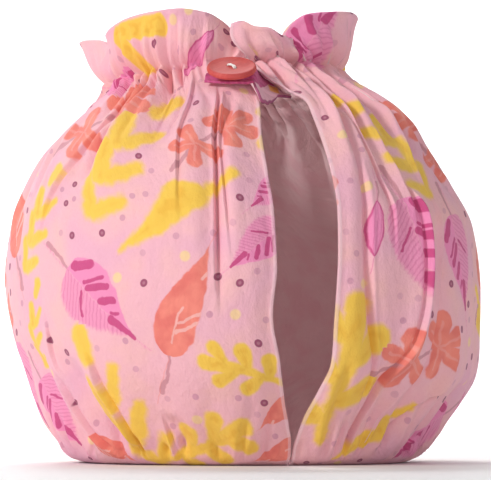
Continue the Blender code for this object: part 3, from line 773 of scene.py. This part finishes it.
def local_places(flat, leaf):
    """Places along (0 at the base, 1 at the tip) and across a leaf."""
    base, tip = np.array([leaf.base_u, leaf.base_v]), np.array([leaf.tip_u, leaf.tip_v])
    along = tip - base
    length = np.linalg.norm(along)
    along = along / length
    offset = (flat - base) / length
    side = np.array([-along[1], along[0]]) * leaf.flip
    return offset @ along, offset @ side, length


def outside_strokes(x, y, strokes):
    """How far places lie outside the strokes, in leaf lengths."""
    least = np.full(x.shape, FAR)
    for stroke in strokes:
        run, rise = stroke.to_x - stroke.x, stroke.to_y - stroke.y
        share = ((x - stroke.x) * run + (y - stroke.y) * rise) / (run * run + rise * rise)
        share = np.clip(share, 0.0, 1.0)
        distance = np.hypot(x - stroke.x - share * run, y - stroke.y - share * rise)
        least = np.minimum(least, distance - stroke.width - share * (stroke.to_width - stroke.width))
    return least


def outside_leaf(kind, x, y):
    """How far places lie outside a leaf of this kind, in leaf lengths."""
    if kind in STROKES:
        return outside_strokes(x, y, STROKES[kind])
    power, half_width, pointed = OUTLINES[kind]
    near = np.clip(x, 0.0, 1.0)
    half = np.sin(near**power * math.pi).clip(0.0) ** (FULL + pointed * near) * half_width
    leaf = np.hypot(np.maximum(np.abs(y) - half, 0.0), x - near) + np.minimum(np.abs(y) - half, 0.0)
    return np.minimum(leaf, outside_strokes(x, y, LEAF_STEM))


def nearest(count, distances):
    """Which of these distances is the least at each of count places, and how much it is."""
    owner = np.zeros(count, int)
    least = np.full(count, np.inf)
    for number, distance in enumerate(distances):
        closer = distance < least
        owner[closer], least[closer] = number, distance[closer]
    return owner, least


def outside(places, leaf):
    """How far places lie outside one leaf of the chart, in millimetres."""
    x, y, length = local_places(places, leaf)
    return outside_leaf(leaf.kind, x, y) * length


def nearest_leaf(places, leaves):
    return nearest(len(places), (outside(places, leaf) for leaf in leaves))


print(len(LEFT_CHART) + len(RIGHT_CHART), "leaves charted")

# %% [markdown]
# ## Dots between the leaves
# The dots fill the gaps: dark plum ones, mauve ones and soft yellow ones, one to two millimetres in radius.
# They stand on a loose grid whose places are shaken by a seeded random number, and a dot that would touch
# a leaf is left out.

# %% Scatter the dots
PLUM_DOT, MAUVE_DOT, YELLOW_DOT = range(3)
# How often each kind comes: one of these is drawn for every dot.
DOT_KINDS = (PLUM_DOT, MAUVE_DOT, MAUVE_DOT, YELLOW_DOT, PLUM_DOT, MAUVE_DOT, MAUVE_DOT, MAUVE_DOT)
DOT_SPACING = 9.6
DOT_SHAKE = 3.8  # how far a dot may stand from its place on the grid
DOT_CLEARANCE = 1.9  # between its middle and the nearest leaf
DOTS_ACROSS, DOTS_UP = (-6, 330), (4, 206)  # the part of the flat cloth that they cover


def scatter_dots(leaves, seed):
    rng = np.random.default_rng(seed)
    grid = np.meshgrid(np.arange(*DOTS_ACROSS, DOT_SPACING), np.arange(*DOTS_UP, DOT_SPACING))
    places = np.stack([axis.ravel() for axis in grid], axis=-1)
    places += rng.uniform(-DOT_SHAKE, DOT_SHAKE, places.shape)
    kinds = rng.choice(DOT_KINDS, len(places))
    clear = nearest_leaf(places, leaves)[1] > DOT_CLEARANCE
    return places[clear], kinds[clear]


def nearest_dot(places, dots):
    return nearest(len(places), (np.hypot(*(places - dot).T) for dot in dots))[0]


print("dots stand about", DOT_SPACING, "mm apart")

# %% [markdown]
# ## From grid to mesh
# The panel becomes a quad mesh with five UV maps: its place on the flat cloth, its place on the nearest
# leaf, that leaf's kind, its place on the nearest dot, and that dot's kind with a tint. A Solidify modifier
# gives the cloth its two sides and a real edge, the inside in its own material.

# %% Make the cloth meshes
CLOTH_THICKNESS = 0.9
FLAT_UNIT, DOT_UNIT = 100.0, 10.0  # millimetres in one unit of these UV maps
DOT_TINTS = 5


def add_uv(mesh, name, corners):
    layer = mesh.uv_layers.new(name=name)
    layer.data.foreach_set("uv", np.asarray(corners, np.float32).ravel())


def grid_mesh(name, points, order):
    """A smooth quad mesh on rows of points, and its faces. order is the order of a face's corners."""
    index = np.arange(points.shape[0] * points.shape[1]).reshape(points.shape[:2])
    corners = (index[:-1, :-1], index[:-1, 1:], index[1:, 1:], index[1:, :-1])
    faces = np.stack([corners[i] for i in order], axis=-1).reshape(-1, 4)
    mesh = bpy.data.meshes.new(name)
    mesh.from_pydata(points.reshape(-1, 3), [], faces)
    mesh.shade_smooth()
    return mesh, faces


def thicken(cloth, offset):
    """Gives a surface the cloth's thickness: inwards for offset -1, to both sides for 0."""
    solid = cloth.modifiers.new("Thickness", "SOLIDIFY")
    solid.thickness, solid.offset = CLOTH_THICKNESS * MM, offset
    return solid


def cloth_object(name, points, flat, chart, seed):
    order = (3, 2, 1, 0) if name.startswith("left") else (0, 1, 2, 3)
    mesh, faces = grid_mesh(name, points, order)
    places = flat.reshape(-1, 2)
    corners = places[faces].reshape(-1, 2)
    centres = places[faces].mean(axis=1)
    leaves = whole_chart(chart)
    owner = np.repeat(nearest_leaf(centres, leaves)[0], 4)
    local, kind = np.zeros_like(corners), np.zeros_like(corners)
    for number, leaf in enumerate(leaves):
        mine = owner == number
        x, y, _ = local_places(corners[mine], leaf)
        local[mine] = np.stack([x, y], axis=-1)
        kind[mine, 0] = leaf.kind
    dots, dot_kinds = scatter_dots(leaves, seed)
    dot_owner = np.repeat(nearest_dot(centres, dots), 4)
    tint = dot_owner % DOT_TINTS / DOT_TINTS
    add_uv(mesh, "flat", corners / FLAT_UNIT)
    add_uv(mesh, "leaf", local)
    add_uv(mesh, "leaf_kind", kind)
    add_uv(mesh, "dot", (corners - dots[dot_owner]) / DOT_UNIT)
    add_uv(mesh, "dot_kind", np.stack([dot_kinds[dot_owner], tint], axis=-1))
    cloth = add_object(name, mesh)
    thicken(cloth, -1.0).material_offset = 1
    return cloth


left = cloth_object("left_cloth", *panels["left_cloth"], LEFT_CHART, 5)
right = cloth_object("right_cloth", *panels["right_cloth"], RIGHT_CHART, 6)
print(len(left.data.polygons) + len(right.data.polygons), "quads of cloth")

# %% [markdown]
# ## Colours and edges of the print
# The print is soft-edged, as pigment on cotton is. One function gives how far a point is from the nearest
# stroke of a table, the same sum as before but now as shader nodes. Edges come from that distance, so they
# can be as soft as wanted.

# %% Colours and distances
PINK, LILAC, PEACH = (246, 186, 195), (237, 176, 199), (249, 192, 186)
YELLOW, AMBER = (248, 202, 84), (238, 180, 64)
CORAL, CORAL_DARK = (246, 142, 126), (228, 110, 104)
MAGENTA, MAGENTA_DARK = (243, 146, 188), (204, 72, 128)
PLUM, MAUVE, STEM = (160, 82, 110), (212, 148, 170), (206, 140, 150)
ROSE, CREAM, HEM_HIGHLIGHT = (232, 160, 178), (250, 214, 150), (252, 216, 222)
BACK_PINK, BACK_SHADE = (246, 216, 217), (243, 204, 208)


def nearest_stroke(s, x, y, strokes):
    """How far a point lies outside the strokes, and how far from their middle lines, as nodes."""
    place = s.vector(x, y)
    outside, aside = FAR, FAR
    for stroke in strokes:
        run, rise = stroke.to_x - stroke.x, stroke.to_y - stroke.y
        from_start = s.vector_math("SUBTRACT", place, (stroke.x, stroke.y, 0.0))
        size = run * run + rise * rise
        share = s.vector_math("DOT_PRODUCT", from_start, (run / size, rise / size, 0.0), output=1)
        share = share.most(0.0).least(1.0)
        offset = s.vector_math("SUBTRACT", from_start, s.vector_math("SCALE", (run, rise, 0.0), share))
        distance = s.vector_math("LENGTH", offset, output=1)
        width = share * (stroke.to_width - stroke.width) + stroke.width
        outside = (distance - width).least(outside)
        aside = distance.least(aside)
    return outside, aside


def stripes(place, width, soft):
    """Lines where place is a whole number and a half, with this share of the way filled."""
    return abs(place.fract() - 0.5).rise(width / 2 + soft, width / 2 - soft)


def leaf_half(x, kind):
    """Half of a leaf's width along its rib, by its outline."""
    power, half_width, pointed = OUTLINES[kind]
    near = x.most(0.0).least(1.0)
    return ((near**power) * math.pi).sin().most(0.0) ** (near * pointed + FULL) * half_width


print("colours and edges ready")

# %% [markdown]
# ## Drawing the leaves
# Four kinds are plain yellow brush leaves. The coral sprig has round leaves with a pale vein each. The
# long coral leaf, the barred magenta one and the lens have a real leaf's outline, made from a sine. Most
# of the pale cuts and dark bars lie on one half of a leaf.

# %% Draw each kind
def stem(s, x, y, ground):
    edge, _ = nearest_stroke(s, x, y, LEAF_STEM)
    return s.mix(edge.rise(0.01, -0.004) * 0.85, ground, STEM)


def draw_yellow(s, x, y, ground, strokes):
    edge, _ = nearest_stroke(s, x, y, strokes)
    blotches = s.noise(s.vector(x, y), 7.0, 1.0).rise(0.45, 0.62)
    heart = edge.rise(-0.02, -0.07) * 0.5
    return s.mix(edge.rise(0.028, -0.02), ground, s.mix(blotches * heart + heart * 0.3, YELLOW, AMBER))


def draw_sprig(s, x, y, ground):
    edge, aside = nearest_stroke(s, x, y, SPRIG_LEAVES)
    stalk, _ = nearest_stroke(s, x, y, SPRIG_STEMS)
    surface = s.mix(stalk.rise(0.01, -0.004) * 0.85, ground, STEM)
    veins = aside.rise(0.016, 0.006) * edge.rise(-0.015, -0.04)
    tone = s.noise(s.vector(x, y), 6.0, 1.0).rise(0.35, 0.7) * 0.6
    surface = s.mix(edge.rise(0.012, -0.01), surface, s.mix(tone, CORAL, CORAL_DARK))
    return s.mix(veins * 0.28, surface, PEACH)


def draw_long_leaf(s, x, y, ground):
    inside = (leaf_half(x, VEINED) - abs(y)).rise(-0.01, 0.01)
    edge, _ = nearest_stroke(s, x, y, LEAF_CUTS)
    tone = s.noise(s.vector(x, y), 5.0, 2.0).rise(0.35, 0.7) * 0.7
    surface = s.mix(inside, stem(s, x, y, ground), s.mix(tone, CORAL, CORAL_DARK))
    return s.mix(inside * edge.rise(0.008, -0.004) * 0.75, surface, PEACH)


def draw_barred_leaf(s, x, y, ground):
    within = leaf_half(x, HATCHED) - abs(y)
    barred = within.rise(-0.01, 0.01) * y.rise(-0.01, 0.01)
    frayed = (within + s.noise(s.vector(x * 40.0, y * 6.0), 1.0) * 0.07).rise(0.0, 0.06) * y.rise(0.01, -0.01)
    hatching = stripes((x + y * 0.75) * 19.0, 0.3, 0.18)
    edge, _ = nearest_stroke(s, x, y, DARK_BARS)
    surface = s.mix(barred.most(frayed * 0.8), stem(s, x, y, ground), MAGENTA)
    surface = s.mix(frayed * hatching * 0.35, surface, MAGENTA_DARK)
    return s.mix(edge.rise(0.008, -0.004) * within.rise(-0.03, -0.01) * 0.92, surface, MAGENTA_DARK)


def draw_lens(s, x, y, ground):
    half = leaf_half(x, LENS)
    within = half - abs(y)
    rim = within.rise(0.04, 0.018)
    lines = stripes(y / (half + 0.02) * 2.4 + 0.2, 0.22, 0.12)
    surface = s.mix(within.rise(-0.012, 0.012), stem(s, x, y, ground), MAGENTA)
    return s.mix(within.rise(-0.012, 0.012) * rim.most(lines * 0.45) * 0.8, surface, MAGENTA_DARK)


DRAWN = {kind: partial(draw_yellow, strokes=STROKES[kind]) for kind in (FERN, COMB, BLADE, HOOK)}
DRAWN.update({SPRIG: draw_sprig, VEINED: draw_long_leaf, HATCHED: draw_barred_leaf, LENS: draw_lens})
print(len(DRAWN), "kinds of leaf")

# %% [markdown]
# ## Putting the cotton together
# The dots come first and the leaves over them. The weave is far finer than the eye makes out from a step
# away, but it takes the shine off the cloth, so it's there as a very low bump: two crossed sets of threads
# at their real pitch of half a millimetre, over a slower unevenness where threads are thicker and over the
# small crinkles of soft cloth.

# %% The cotton's material
THREAD_PITCH = 0.5
BUMP_HEIGHT, BUMP_STRENGTH = 0.0005, 0.4
COTTON = {"Roughness": 0.86, "Specular_IOR_Level": 0.28, "Sheen_Weight": 0.12, "Sheen_Roughness": 0.6}


def cotton_ground(s, u, v):
    clouds = s.noise(s.vector(u, v), 7.0, 2.0)
    patches = s.noise(s.vector(v + 3.0, u), 4.5, 1.0)
    threads = s.noise(s.vector(u * 2.0, v), 90.0, 2.0, 0.7)
    ground = s.mix(clouds.rise(0.42, 0.68) * 0.6, PINK, PEACH)
    ground = s.mix(patches.rise(0.45, 0.7) * 0.7, ground, LILAC)
    return s.mix(threads.rise(0.5, 0.7) * 0.25, ground, ROSE)


def draw_dots(s, colour_here):
    dx, dy = s.uv("dot")
    kind, tint = s.uv("dot_kind")
    away = (dx * dx + dy * dy) ** 0.5 * DOT_UNIT
    plum = away.rise(1.5, 1.15) * kind.is_kind(PLUM_DOT)
    middle = away.rise(0.75, 0.35)
    mauve = away.rise(1.35, 0.95) * kind.is_kind(MAUVE_DOT) * (tint * 0.5 + 0.5)
    yellow = away.rise(2.2, 1.3) * kind.is_kind(YELLOW_DOT)
    colour_here = s.mix(mauve * 0.9, colour_here, MAUVE)
    colour_here = s.mix(yellow * 0.8, colour_here, CREAM)
    return s.mix(plum * (1.0 - middle * 0.25), colour_here, PLUM)


def cloth_bump(s, u, v):
    turns = 2 * math.pi * FLAT_UNIT / THREAD_PITCH
    weave = (u * turns).sin() * (v * turns).sin()
    slubs = s.noise(s.vector(u * 5, v), 70.0, 2.0)
    crinkles = s.noise(s.vector(u * 1.6, v), 17.0, 3.0, 0.6)
    height = weave * 0.08 + slubs * 0.35 + crinkles * 4.0
    inputs = {"Strength": BUMP_STRENGTH, "Distance": BUMP_HEIGHT, "Height": height}
    return s.add("ShaderNodeBump", {}, inputs)


def printed_cotton():
    s = Shader("printed_cotton", **COTTON)
    u, v = s.uv("flat")
    x, y = s.uv("leaf")
    kind, _ = s.uv("leaf_kind")
    x = x + (s.noise(s.vector(u, v), 25.0) - 0.5) * 0.05
    y = y + (s.noise(s.vector(v, u), 25.0) - 0.5) * 0.05
    ground = surface = draw_dots(s, cotton_ground(s, u, v))
    for number, draw in DRAWN.items():
        surface = s.mix(kind.is_kind(number), surface, draw(s, x, y, ground))
    # Painted highlight: a pale band along the slit's edge, where the hem's fold catches the light.
    surface = s.mix(u.rise(0.014, 0.009) * 0.45, surface, HEM_HIGHLIGHT)
    s.feed("Base Color", surface)
    s.feed("Normal", cloth_bump(s, u, v))
    return s.material


def cotton_back():
    """The unprinted back of the cloth, where the print only shows through as a faint cloud."""
    s = Shader("cotton_back", Roughness=0.9, Specular_IOR_Level=0.2)
    u, v = s.uv("flat")
    clouds = s.noise(s.vector(u, v), 9.0)
    s.feed("Base Color", s.mix(clouds.rise(0.4, 0.65), BACK_PINK, BACK_SHADE))
    s.feed("Normal", cloth_bump(s, u, v))
    return s.material


cotton, reverse = printed_cotton(), cotton_back()
for cloth in (left, right):
    cloth.data.materials.append(cotton)
    cloth.data.materials.append(reverse)
print("printed cotton:", len(cotton.node_tree.nodes), "nodes")

# %% [markdown]
# ## The tab
# The tab is a strip of the same cloth from a part of the print that is deep magenta. It comes out of the
# right panel's gathers, crosses the top of the slit and ends under the button, with a lobe that hangs below
# the crossing. It lies where the frame's tab lies, with a fold along its length and small wrinkles.

# %% Make the tab
# The tab, from under the button across the slit to behind the right panel: how far each place stands
# out from the body, and how far the tab reaches up and down the slope from its middle line.
Strip = namedtuple("Strip", "azimuth out up down")
TAB = rows_of(
    Strip,
    (-26, 1.9, 3, 1.6), (-20, 1.6, 3.6, 2.2), (-14, 1.5, 4.4, 2.4), (-10.8, 1.6, 4.8, 2.6),
    (-9.2, 2.1, 4.8, 2.6), (-8.1, 1.5, 6.6, 7.6), (-6.8, -0.9, 10.5, 9.4), (-4.2, -3.5, 11, 7.4),
    (-1, -5, 9.6, 3.6), (2, -5.8, 7.8, -0.6), (8, -6.3, 5.4, -1.5),
)
TAB_MIDDLE = (54.6, 131.3)  # radius and height of the tab's middle line on the body
TAB_SWAY = -1.4
TAB_SLOPE = 43.0  # degrees by which the body rises inwards there
TAB_ALONG, TAB_ACROSS = 150, 24  # quads along and across
DEEP_PINK, DEEP_MAGENTA, TAB_LINES = (214, 96, 150), (190, 66, 120), (232, 130, 170)
TAB_PINK, TAB_EDGE_SHADE, TAB_LEAF = (246, 188, 202), (176, 92, 128), (246, 176, 96)


def tab_points():
    """The tab's middle surface as rows of points from its upper edge down, with the places of its points
    on the flat cloth, and how far across the strip they lie."""
    keys = [strip.azimuth for strip in TAB]
    azimuth = np.linspace(keys[0], keys[-1], TAB_ALONG + 1)[None, :]
    out, up, down = (smooth_curve(keys, [s[i] for s in TAB], azimuth) for i in (1, 2, 3))
    share = np.linspace(0.0, 1.0, TAB_ACROSS + 1)[:, None]
    along = up - share * (up + down)
    fold = 0.35 * bell(along + 0.6, 0.7) - 0.3 * bell(along - 0.9, 0.9)
    lobe = smooth_step(-10.0, -7.5, azimuth)
    wrinkle = 0.25 * lobe * np.sin(azimuth * 1.9 + along) * smooth_step(-2.0, -6.0, along)
    out = out - fold + wrinkle
    slope, turn = math.radians(TAB_SLOPE), np.radians(azimuth)
    radius = TAB_MIDDLE[0] + out * math.sin(slope) - along * math.cos(slope)
    height = TAB_MIDDLE[1] + out * math.cos(slope) + along * math.sin(slope)
    middle = TAB_SWAY * sway_towards()
    x, y = middle[0] + radius * np.sin(turn), middle[1] - radius * np.cos(turn)
    points = np.stack([x, y, height + 0 * turn], axis=-1)
    flat = np.stack([TAB_MIDDLE[0] * turn + 0 * along, along], axis=-1)
    return points * MM, flat, np.stack([share + 0 * along, 0 * along], axis=-1)


def tab_material():
    """Deep magenta cloth, pale pink below the crossing and darkened along its lower edge as painted shade,
    and a part of an amber leaf.
    """
    s = Shader("magenta_print", **COTTON)
    u, v = s.uv("flat")
    crossing = u.rise(-0.077, -0.067)
    edge = crossing * 0.022 - 0.03 + (u + 0.062).most(0.0).least(0.05) * 1.5
    below = (v - edge).rise(0.003, -0.004)
    clouds = s.noise(s.vector(u, v), 26.0)
    deep = s.mix(clouds.rise(0.35, 0.65), DEEP_PINK, DEEP_MAGENTA)
    lines = stripes((u + v * 0.6) * 55.0, 0.3, 0.2)
    deep = s.mix(lines * 0.3, deep, TAB_LINES)
    # Painted shade: the pale lobe darkens along the tab's lower edge.
    hem = s.uv("across")[0].rise(0.9, 0.96)
    bit = u.rise(-0.020, -0.010) * u.rise(0.034, 0.024) * v.rise(0.018, 0.026) * v.rise(0.068, 0.058)
    surface = s.mix(below, deep, s.mix(hem, TAB_PINK, TAB_EDGE_SHADE))
    s.feed("Base Color", s.mix(bit, surface, TAB_LEAF))
    s.feed("Normal", cloth_bump(s, u, v))
    return s.material


def make_tab():
    points, flat, across = tab_points()
    mesh, faces = grid_mesh("tab_cloth", points, (0, 3, 2, 1))
    add_uv(mesh, "flat", flat.reshape(-1, 2)[faces].reshape(-1, 2) / FLAT_UNIT)
    add_uv(mesh, "across", across.reshape(-1, 2)[faces].reshape(-1, 2))
    tab = add_object("tab_cloth", mesh)
    tab.data.materials.append(tab_material())
    thicken(tab, 0.0)
    return tab


tab = make_tab()
print("tab", len(tab.data.polygons), "quads")

# %% [markdown]
# ## The button
# The button is a disc of dyed shell or resin: a shallow dish inside a rounded rim, two holes, and a
# domed back. A profile turned round its axis gives exactly that. The holes are cut with a Boolean, and
# their edges stay sharp while the rest is shaded smooth.

# %% Make the button
BUTTON_HALF, BUTTON_RIM = 8.6, 1.35  # its radius, and how far it reaches above and below the middle
HOLE_HALF, HOLE_SIDE = 0.8, 1.7  # a hole's radius, and how far it stands from the middle
PROFILE_STEPS, TURN_STEPS = 52, 96
SHARP_ANGLE = 50.0
RESIN, RESIN_STREAK, RESIN_CLOUD = (206, 82, 78), (220, 104, 96), (188, 66, 68)


def button_frame():
    """Where the button sits: its x runs along the shoulder, its z out of its face."""
    outward, along = facing(BUTTON_AZIMUTH)
    tilt = math.radians(BUTTON_TILT)
    face = outward * math.cos(tilt) + Vector((0.0, 0.0, math.sin(tilt)))
    middle = BUTTON_SWAY * sway_towards()
    place = outward * BUTTON_RADIUS + Vector((*middle, BUTTON_HEIGHT))
    turned = Matrix((along, face.cross(along), face)).transposed().to_4x4()
    return Matrix.Translation(place * MM) @ turned @ Matrix.Rotation(math.radians(BUTTON_TURN), 4, "Z")


# The profile from the middle of the face to the middle of the back: shares of the radius and of the rim.
BUTTON_PROFILE = (
    (0.0, 0.60), (0.3, 0.60), (0.6, 0.64), (0.74, 0.74), (0.84, 0.88), (0.9, 0.92), (0.95, 0.82),
    (0.985, 0.5), (1.0, 0.1), (0.985, -0.3), (0.94, -0.6), (0.8, -0.88), (0.5, -0.97), (0.0, -1.0),
)


def shell_material():
    """Dyed coral resin, matt, with the faint streaks of shell."""
    s = Shader("coral_resin", Roughness=0.55, Specular_IOR_Level=0.3)
    x, y, z = s.place()
    streaks = s.noise(s.vector(x * 900, y * 160, z * 200), 1.0, 3.0)
    clouds = s.noise(s.vector(x * 200, y * 200, z * 200), 1.0, 1.0)
    body = s.mix(streaks.rise(0.4, 0.66) * 0.5, RESIN, RESIN_STREAK)
    body = s.mix(clouds.rise(0.45, 0.7) * 0.4, body, RESIN_CLOUD)
    s.feed("Base Color", body)
    s.feed("Roughness", streaks * 0.12 + 0.48)
    return s.material


def drill(thing, place):
    """Cuts a hole right through a thing that lies flat."""
    bpy.ops.mesh.primitive_cylinder_add(vertices=40, radius=HOLE_HALF * MM, depth=12 * MM, location=place)
    cutter = bpy.context.object
    hole = thing.modifiers.new("Hole", "BOOLEAN")
    hole.object, hole.solver = cutter, "EXACT"
    bpy.context.view_layer.objects.active = thing
    bpy.ops.object.modifier_apply(modifier=hole.name)
    bpy.data.objects.remove(cutter)


def make_button():
    keys = range(len(BUTTON_PROFILE))
    at = np.linspace(0, keys[-1], PROFILE_STEPS + 1)
    shares = [smooth_curve(keys, values, at) for values in zip(*BUTTON_PROFILE)]
    corners = [(r * BUTTON_HALF * MM, 0.0, z * BUTTON_RIM * MM) for r, z in zip(*shares)]
    mesh = bpy.data.meshes.new("button_disc")
    mesh.from_pydata(corners, [(i, i + 1) for i in range(PROFILE_STEPS)], [])
    button = add_object("button_disc", mesh)
    turned = button.modifiers.new("Turn", "SCREW")
    turned.steps = turned.render_steps = TURN_STEPS
    turned.use_merge_vertices, turned.merge_threshold = True, 0.00002
    bpy.context.view_layer.objects.active = button
    button.select_set(True)
    bpy.ops.object.modifier_apply(modifier=turned.name)
    for side in (-1, 1):
        drill(button, (side * HOLE_SIDE * MM, 0.0, 0.0))
    button.data.shade_smooth()
    button.data.set_sharp_from_angle(angle=math.radians(SHARP_ANGLE))
    button.matrix_world = button_frame()
    button.data.materials.clear()
    button.data.materials.append(shell_material())
    return button


button = make_button()
button_place = [round(v * 1000, 1) for v in button.matrix_world.translation]
print("button", len(button.data.polygons), "faces, its middle at", button_place)

# %% [markdown]
# ## The sewing thread
# Two strands of white thread go down one hole and come up the other. A strand is a thin tube along a
# short curve. The strands lie side by side and cross a little, as hand sewing does.

# %% Sew the button on
THREAD_HALF = 0.36
STRAND_TOP, STRAND_FOOT = 1.3, -2.0  # from the button's middle level
THREAD_WHITE, THREAD_SHADE = (252, 250, 246), (226, 220, 214)


def strand(name, aside, height):
    """A strand through both holes: this far aside of their line, and this much above the lowest one."""
    top, side, foot = STRAND_TOP + height, HOLE_SIDE, STRAND_FOOT
    route = [(-side, aside, foot), (-side, aside, top - 0.75), (-side * 0.82, aside, top - 0.15)]
    route += [(-side * 0.45, aside * 1.2, top), (0.0, aside * 0.6, top + 0.04)]
    route += [(side * 0.45, -aside * 0.2, top), (side * 0.82, -aside, top - 0.15)]
    route += [(side, -aside, top - 0.75), (side, -aside, foot)]
    line = bpy.data.curves.new(name, "CURVE")
    line.dimensions = "3D"
    line.bevel_depth, line.bevel_resolution, line.resolution_u = THREAD_HALF * MM, 3, 8
    line.use_fill_caps = True
    spline = line.splines.new("NURBS")
    spline.points.add(len(route) - 1)
    spline.use_endpoint_u, spline.order_u = True, 3
    for point, place in zip(spline.points, route):
        point.co = (*(c * MM for c in place), 1.0)
    thread = add_object(name, line)
    thread.matrix_world = button_frame()
    return thread


def thread_material():
    s = Shader("white_cotton_thread", Roughness=0.6, Sheen_Weight=0.2)
    x, y, _ = s.place()
    # Painted shade: darker lines where the grooves between the thread's plies fall into shade.
    ply_shade = stripes((x + y * 0.8) * 2600.0, 0.5, 0.2)
    s.feed("Base Color", s.mix(ply_shade * 0.35, THREAD_WHITE, THREAD_SHADE))
    return s.material


thread_look = thread_material()
strands = [strand("thread_one", 0.3, 0.0), strand("thread_two", -0.28, 0.1)]
for thread in strands:
    thread.data.materials.append(thread_look)
print(len(strands), "strands of thread")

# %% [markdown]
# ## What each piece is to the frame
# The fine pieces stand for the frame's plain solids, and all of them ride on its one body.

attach(left, "root")
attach(right, "root")
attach(tab, "root")
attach(button, "root")
for thread in strands:
    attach(thread, "root")
    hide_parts("button_thread")
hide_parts("left_panel")
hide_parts("right_panel")
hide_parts("button_tab")
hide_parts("button")
for node in ("left_panel", "right_panel", "button_tab", "button", "button_thread"):
    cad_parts[node].data.materials.clear()

# %% [markdown]
# ## Floor, light and camera
# The photograph was taken on white, with a soft light from the front left, and a camera just above the
# table, a little to the left of the slit. A pale floor that curves up behind the cosy gives the same even
# ground without a horizon.

# %% Set the stage
# The floor, in metres: how far it reaches forwards and to each side, where it starts to curve up, the
# curve's radius, and how high it goes.
FLOOR_REACH, FLOOR_CURVE, CURVE_RADIUS, WALL_TOP = 3.0, 0.9, 0.6, 3.0
CAMERA_AZIMUTH, CAMERA_AWAY, CAMERA_ASIDE, CAMERA_HEIGHT = -14.7, 0.7, 0.0004, 0.015
AIM_ASIDE, AIM_HEIGHT = 0.0017, 0.082
FOCAL_LENGTH, SENSOR_WIDTH = 138.7, 36.0  # in millimetres
COSY_MIDDLE = Vector((0, 0, 0.08))
ROOM_LIGHT = 0.34


def point_at(thing, place, aim):
    """Puts a light or a camera at its place and turns it to its aim."""
    thing.location = place
    thing.rotation_euler = (aim - place).to_track_quat("-Z", "Y").to_euler()


def soft_light(name, place, aim, size, power):
    lamp = bpy.data.lights.new(name, "AREA")
    lamp.shape, lamp.size, lamp.energy = "DISK", size, power
    point_at(add_object(name, lamp), place, aim)


def make_floor():
    profile = [(-FLOOR_REACH, 0.0), (FLOOR_CURVE, 0.0)]
    for turn in np.linspace(0, math.pi / 2, 17):
        behind, rise = CURVE_RADIUS * math.sin(turn), CURVE_RADIUS * math.cos(turn)
        profile.append((FLOOR_CURVE + behind, CURVE_RADIUS - rise))
    profile.append((FLOOR_CURVE + CURVE_RADIUS, WALL_TOP))
    mesh = bpy.data.meshes.new("floor")
    corners = [(x, y, z) for y, z in profile for x in (-FLOOR_REACH, FLOOR_REACH)]
    faces = [(2 * i, 2 * i + 1, 2 * i + 3, 2 * i + 2) for i in range(len(profile) - 1)]
    mesh.from_pydata(corners, [], faces)
    mesh.shade_smooth()
    floor = add_object("floor", mesh)
    s = Shader("pale_floor", Base_Color=(0.86, 0.86, 0.87, 1.0), Roughness=0.6)
    floor.data.materials.append(s.material)


make_floor()
outward, aside = facing(CAMERA_AZIMUTH)
upward = Vector((0, 0, 1))
lens = bpy.data.cameras.new("camera")
lens.lens, lens.sensor_width = FOCAL_LENGTH, SENSOR_WIDTH
camera = add_object("camera", lens)
camera_place = outward * CAMERA_AWAY + aside * CAMERA_ASIDE + upward * CAMERA_HEIGHT
point_at(camera, camera_place, aside * AIM_ASIDE + upward * AIM_HEIGHT)
bpy.context.scene.camera = camera
key_place = outward * 0.85 - aside * 1.05 + upward * 0.72
fill_place = outward * 1.0 + aside * 0.5 + upward * 0.25
soft_light("key", key_place, COSY_MIDDLE, size=0.28, power=11.3)
soft_light("fill", fill_place, COSY_MIDDLE, size=0.8, power=1.9)
soft_light("backdrop_light", Vector((0.0, 0.75, 1.3)), Vector((0.0, 1.5, 0.5)), size=1.0, power=30.0)
bpy.context.scene.view_settings.view_transform = "Standard"
world = bpy.data.worlds.new("room")
bpy.context.scene.world = world
world.use_nodes = True
background = world.node_tree.nodes["Background"].inputs
background["Color"].default_value = (1.0, 1.0, 1.0, 1.0)
background["Strength"].default_value = ROOM_LIGHT
print("camera", round(math.degrees(math.atan2(AIM_HEIGHT - CAMERA_HEIGHT, CAMERA_AWAY)), 1), "degrees up")
